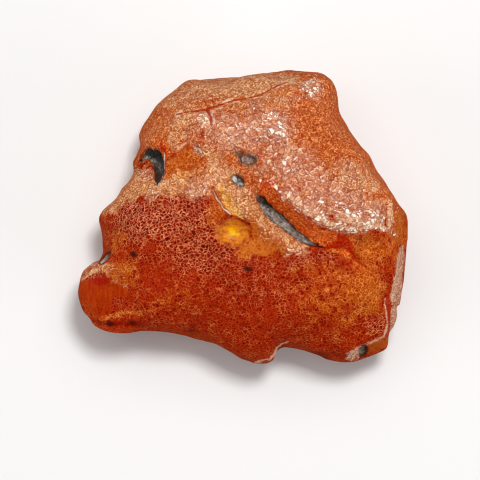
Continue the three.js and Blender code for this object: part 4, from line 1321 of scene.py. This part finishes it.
# relief: lumps, and plates that tilt and have seams, most of all in the rose zone
crackled = (1 - layers["smooth"]) * (1 - layers["clear"])
plateGap, plateTilt = plates(points + layeredNoise(points, crust["plateSway"])[:, None], crust["plate"])
seam = crust["seamDepth"] * (1 - eased(plateGap / crust["seamWidth"]))
relief = layeredNoise(points, crust["lumps"]) + layeredNoise(points, crust["pebbles"]) * crackled
plated = crust["plainShare"] + (1 - crust["plainShare"]) * layers["rose"]
relief += crackled * plated * (crust["plateTilt"] * plateTilt - seam)
relief *= np.where(isFront, 1, eased(points[:, 2] / crust["backEase"]))
relief -= isFront * hollows["depth"] * eased((hollows["rim"] - hollowOut) / hollows["wall"])
points = points + normals * relief[:, None]

lowest, highest = points.min(0), points.max(0)
fit = np.array([2 * halfLength, 2 * halfBreadth, thickness]) / (highest - lowest)
origin = np.array([*(lowest + highest)[:2] / 2, lowest[2]])
amber = makeMesh("amber_lump", (points - origin) * fit, faces, layers, amberMaterial())
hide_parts("amber")
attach(amber, "root")
print("lump made:", len(faces), "triangles")


# Dark matter in the hollows

fillLook = {
    "squares": 56,
    "reach": 1.3,  # of a hollow's radius, so that its ragged edge is what shows
    # mm
    "grain": 0.7,
    "grainHeight": 0.1,
    "fineGrain": 0.5,
    "thickness": 0.6,
    "sunk": (0.2, 0.6),  # below the lump's surface, at its lower left and its upper right
    "rimDip": 0.5,
    "edgeDip": 1,
    # shares
    "dipStart": 0.7,  # of the way out in the hollow
    "dipWidth": 0.3,
    # painted shade: where the dark matter turns black towards the upper right
    "shadeStart": 0.5,  # of the way to the upper right
    "shadeWidth": 0.45,
    "shadeRagged": 0.5,
    "edge": 0.981,  # of the way out to the outline, beyond which it is drawn in and dips
    "drawnIn": 0.15,
    "edgeWidth": 0.02,
    "black": (0.008, 0.007, 0.006),
    "slate": (0.25, 0.19, 0.155),
    "grey": (0.56, 0.48, 0.42),
    # white, a painted highlight on the dark matter
    "paintedGlint": (0.82, 0.8, 0.8),
    "rock": (0.5, 0.42, 0.34),
    # dark brown, partly painted shade in the upper right of the hollows
    "brownAndShade": (0.09, 0.02, 0.006),
    "earth": (0.42, 0.16, 0.08),
    # noises: scale per mm, detail, and the values between which they rise
    "streak": (4, 4, 0.38, 0.66),
    "speckle": (3.2, 4, 0.4, 0.7),
    "streakTurn": -37,  # degrees from X
    "streakStretch": 3.5,
    "speck": 0.3,  # mm across
    # specks of rock and of black, by the number tossed for each, and how strongly each is painted on
    "blackSpecks": (0.75, 0.95),
    "rockSpecks": (0.2, 0.05),
    "cover": {
        "blackSpeckle": 0.5, "blackSpecks": 0.4, "rockSpecks": 0.6, "rockLeast": 0.4, "glintLeast": 0.35,
    },
    "roughness": 0.75,
    "streakShine": 0.25,  # by which the streaks are less rough
    "specular": 0.25,
    # mm of height, at this strength
    "streakHeight": 0.08,
    "speckleHeight": 0.05,
    "bumpStrength": 0.8,
}

# where it isn't black, in the same form as the zones
fillZones = {
    "slate": {
        "soft": 0.6,
        "spots": [
            (-0.56, 0.375, 0.9, 0.5, -20, 0.8), (-0.5, 0.33, 0.4, 1, 5, 0.25),
            (0.02, 0.385, 1.2, 0.6, -15, 0.9), (-0.012, 0.215, 0.7, 0.8, 30, 1),
            (-0.85, -0.29, 0.9, 0.6, 49, 0.8), (0.72, -0.92, 0.5, 0.8, -10, 0.6),
        ],
        "strokes": [
            [(0.105, 0.07, 0.4, 0.8), (0.172, 0.016, 0.7, 1), (0.248, -0.056, 0.6, 1),
             (0.324, -0.128, 0.45, 1), (0.39, -0.172, 0.3, 0.8), (0.43, -0.19, 0.15, 0.4)],
        ],
    },
    "rock": {
        "soft": 0.5,
        "spots": [
            (-0.585, 0.395, 0.8, 0.5, -20, 1), (-0.05, 0.262, 0.25, 0.6, 25, 1),
            (-0.862, -0.3, 0.5, 0.4, 0, 1), (0.03, 0.383, 1.3, 0.5, -15, 0.2),
        ],
    },
    # white patches, painted highlights on the dark matter
    "paintedGlint": {"soft": 0.4, "spots": [(-0.047, 0.262, 0.28, 0.5, 20, 1), (-0.86, -0.3, 0.6, 0.35, 49, 0.6)]},
    "earth": {"soft": 0.7, "spots": [(0.02, 0.39, 1.6, 0.8, -15, 0.65), (0.1, 0.11, 0.5, 0.4, 0, 0.3)]},
    # dark brown, partly painted shade in the upper right of the hollows
    "brownAndShade": {
        "soft": 0.6,
        "spots": [
            (-0.52, 0.25, 0.9, 1, 0, 0.8), (-0.54, 0.3, 0.6, 1.4, 10, 0.9),
            (-0.815, -0.243, 0.6, 0.4, 0, 1), (0.06, 0.41, 0.6, 0.5, 0, 1),
            (-0.015, 0.275, 0.6, 0.35, 0, 1), (0.75, -0.9, 0.5, 1, 0, 0.6),
        ],
    },
}


def fillMaterial():
    # black earth with coats of slate, earth, dark brown that is partly painted shade, rock, and white
    # painted highlights
    look = fillLook
    cover = look["cover"]
    recipe = Recipe("dark_fill")
    place = recipe.place()
    turned = recipe.turned(place, look["streakTurn"], look["streakStretch"])
    streaks = recipe.patches(turned, *look["streak"])
    speckle = recipe.patches(place, *look["speckle"])
    specks = recipe.cells(place, look["speck"], "Color").between(0, 1)
    zone = {name: recipe.layer(name) for name in fillZones}
    blackened = (1 - speckle) * cover["blackSpeckle"]
    blackened = blackened + specks.between(*look["blackSpecks"]) * cover["blackSpecks"]
    paint = recipe.coated(
        look["black"],
        (zone["slate"], recipe.mix(streaks, look["slate"], look["grey"])),
        (zone["earth"], look["earth"]),
        (zone["brownAndShade"], look["brownAndShade"]),
        (zone["rock"] * speckle.atLeast(cover["rockLeast"]), look["rock"]),
        (blackened, look["black"]),
        (specks.between(*look["rockSpecks"]) * zone["slate"] * cover["rockSpecks"], look["rock"]),
        (zone["paintedGlint"] * streaks.atLeast(cover["glintLeast"]), look["paintedGlint"]),
    )
    height = streaks * look["streakHeight"] + speckle * look["speckleHeight"]
    return recipe.finish(recipe.skin({
        "Base Color": paint,
        "Roughness": look["roughness"] - streaks * look["streakShine"],
        "Specular IOR Level": look["specular"],
        "Normal": recipe.bump(height, look["bumpStrength"]),
    }))


def creviceSpread(squares):
    # a strip that follows the path: across it, it reaches a little more than the path's half width,
    # and narrows to its ends as a circle does
    path = np.array(crevice) * [halfLength, halfBreadth, 1]
    run = np.concatenate([[0], np.cumsum(np.hypot(*np.diff(path[:, :2], axis=0).T))])
    lengthwise = np.linspace(0, run[-1], squares + 1)
    along, across = np.meshgrid(lengthwise, np.linspace(-1, 1, squares + 1), indexing="ij")
    x, y, half = (np.interp(along, run, path[:, k]) for k in range(3))
    dx, dy = np.gradient(x, axis=0), np.gradient(y, axis=0)
    length = np.hypot(dx, dy)
    ends = np.clip(np.minimum(along, run[-1] - along) / half, 0.1, 1)
    reach = half * fillLook["reach"] * np.sqrt(1 - (1 - ends) ** 2) * across
    return x - dy / length * reach, y + dx / length * reach, np.maximum(abs(across), 1 - ends), across


def pitSpread(pit, squares):
    # rings of an ellipse, a·cos and b·sin of the turn, turned about its middle
    shareX, shareY, radiusA, radiusB, turn = pit
    ring, share = squareRings(squares)
    a = radiusA * fillLook["reach"] * ring * np.cos(2 * math.pi * share)
    b = radiusB * fillLook["reach"] * ring * np.sin(2 * math.pi * share)
    cos, sin = math.cos(math.radians(turn)), math.sin(math.radians(turn))
    offX, offY = a * cos - b * sin, a * sin + b * cos
    side = (offX + offY) / (radiusA + radiusB)
    return shareX * halfLength + offX, shareY * halfBreadth + offY, ring, side


def groundAt(x, y):
    # the lump's bare surface and its normal: the cross product of two short steps on it
    step = 0.15  # mm
    places = ((x, y), (x - step, y), (x + step, y), (x, y - step), (x, y + step))
    ground, left, right, down, up = (bareSurface(*rimPlace(*place), True) for place in places)
    normal = np.cross(right - left, up - down)
    return ground, normal / np.linalg.norm(normal, axis=-1, keepdims=True)


def makeFill(name, spread):
    # it lies nearly flush at its lower left and sinks, and turns black with painted shade, towards its upper
    # right
    # places beyond the edge are drawn in, so that it stays inside the outline, and sink there
    look = fillLook
    x, y, out, side = spread
    past = np.maximum(rimPlace(x, y)[1] - look["edge"], 0)
    kept = (look["edge"] + look["drawnIn"] * past) / (look["edge"] + past)
    x, y = x * kept, y * kept
    ground, normal = groundAt(x, y)
    flat = ground.reshape(-1, 3)
    bumps = layeredNoise(flat, [(look["grain"], 1), (look["grain"] / 2, 0.5)]).reshape(x.shape)
    ragged = softNoise(flat, look["fineGrain"])
    layers = {layer: zoneValue(zone, x.ravel(), y.ravel(), ragged) for layer, zone in fillZones.items()}
    # painted shade: the slate gives way to black towards the upper right
    shaded = eased((side - look["shadeStart"] + look["shadeRagged"] * bumps) / look["shadeWidth"])
    layers["slate"] = layers["slate"] * (1 - shaded.ravel())
    flush, deepest = look["sunk"]
    sunk = flush + (deepest - flush) * shaded - look["grainHeight"] * bumps
    sunk = sunk + look["rimDip"] * eased((out - look["dipStart"]) / look["dipWidth"])
    sunk = sunk + look["edgeDip"] * eased(past / look["edgeWidth"])
    top = ground - normal * sunk[..., None]
    bottom = ground - normal * (sunk + look["thickness"] * (1 - out**2))[..., None]
    points, faces, inside = weld(top, bottom)
    layers = {layer: np.concatenate([value, value[inside.ravel()]]) for layer, value in layers.items()}
    piece = makeMesh(name.replace("fill", "matter"), (points - origin) * fit, faces, layers, darkMatter)
    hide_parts(name)
    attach(piece, "root")


darkMatter = fillMaterial()
makeFill("crevice_fill", creviceSpread(fillLook["squares"]))
for name, pit in pits.items():
    makeFill(name, pitSpread(pit, fillLook["squares"]))
print("dark matter made")


# Floor, lights and camera

stage = {
    "floorHalf": 1.5,
    "floorColour": (0.8, 0.79, 0.78),
    "floorRoughness": 0.6,
    "world": 0.13,
    "viewWidth": 75.9 * mm,  # of the picture, at the height of the outline
    "lens": 350,
    "offset": (-0.46 * mm, -3.6 * mm),
    "pixelFilter": 1.1,
    "lights": {  # place, two sides, watts
        "softbox": ((0, 0.38, 0.9), (1.2, 0.84), 4),
        "key": ((0.12, 0.26, 0.88), (0.18, 0.18), 5.4),
        "sideLeft": ((-1, -0.3, 0.4), (1, 0.4), 4),
        "sideRight": ((1, -0.4, 0.4), (1, 0.4), 4),
    },
}


def makeFloor():
    half = stage["floorHalf"]
    mesh = bpy.data.meshes.new("floor")
    corners = [(-half, -half, 0), (half, -half, 0), (half, half, 0), (-half, half, 0)]
    mesh.from_pydata(corners, [], [(0, 1, 2, 3)])
    recipe = Recipe("floor")
    paint = recipe.skin({"Base Color": stage["floorColour"], "Roughness": stage["floorRoughness"]})
    mesh.materials.append(recipe.finish(paint))
    floor = bpy.data.objects.new("floor", mesh)
    bpy.context.collection.objects.link(floor)


def makeLight(name, place, size, power):
    light = bpy.data.lights.new(name, "AREA")
    light.shape = "RECTANGLE"
    light.size, light.size_y = size
    light.energy = power
    lamp = bpy.data.objects.new(name, light)
    lamp.location = place
    lamp.rotation_euler = (-lamp.location).to_track_quat("-Z", "Y").to_euler()
    bpy.context.collection.objects.link(lamp)


def makeCamera():
    # straight above, as far off as the lens needs for the width in view
    lens = bpy.data.cameras.new("camera")
    lens.lens = stage["lens"]
    camera = bpy.data.objects.new("camera", lens)
    distance = stage["viewWidth"] / 2 / (lens.sensor_width / 2 / lens.lens)
    camera.location = (*stage["offset"], distance + rimHeight * mm)
    bpy.context.collection.objects.link(camera)
    bpy.context.scene.camera = camera


makeFloor()
for name, values in stage["lights"].items():
    makeLight(name, *values)
makeCamera()
world = bpy.data.worlds.new("world")
world.use_nodes = True
background = world.node_tree.nodes["Background"]
background.inputs["Color"].default_value = (1, 1, 1, 1)
background.inputs["Strength"].default_value = stage["world"]
bpy.context.scene.world = world
bpy.context.scene.view_settings.view_transform = "Standard"
bpy.context.scene.cycles.filter_width = stage["pixelFilter"]
print("stage made")
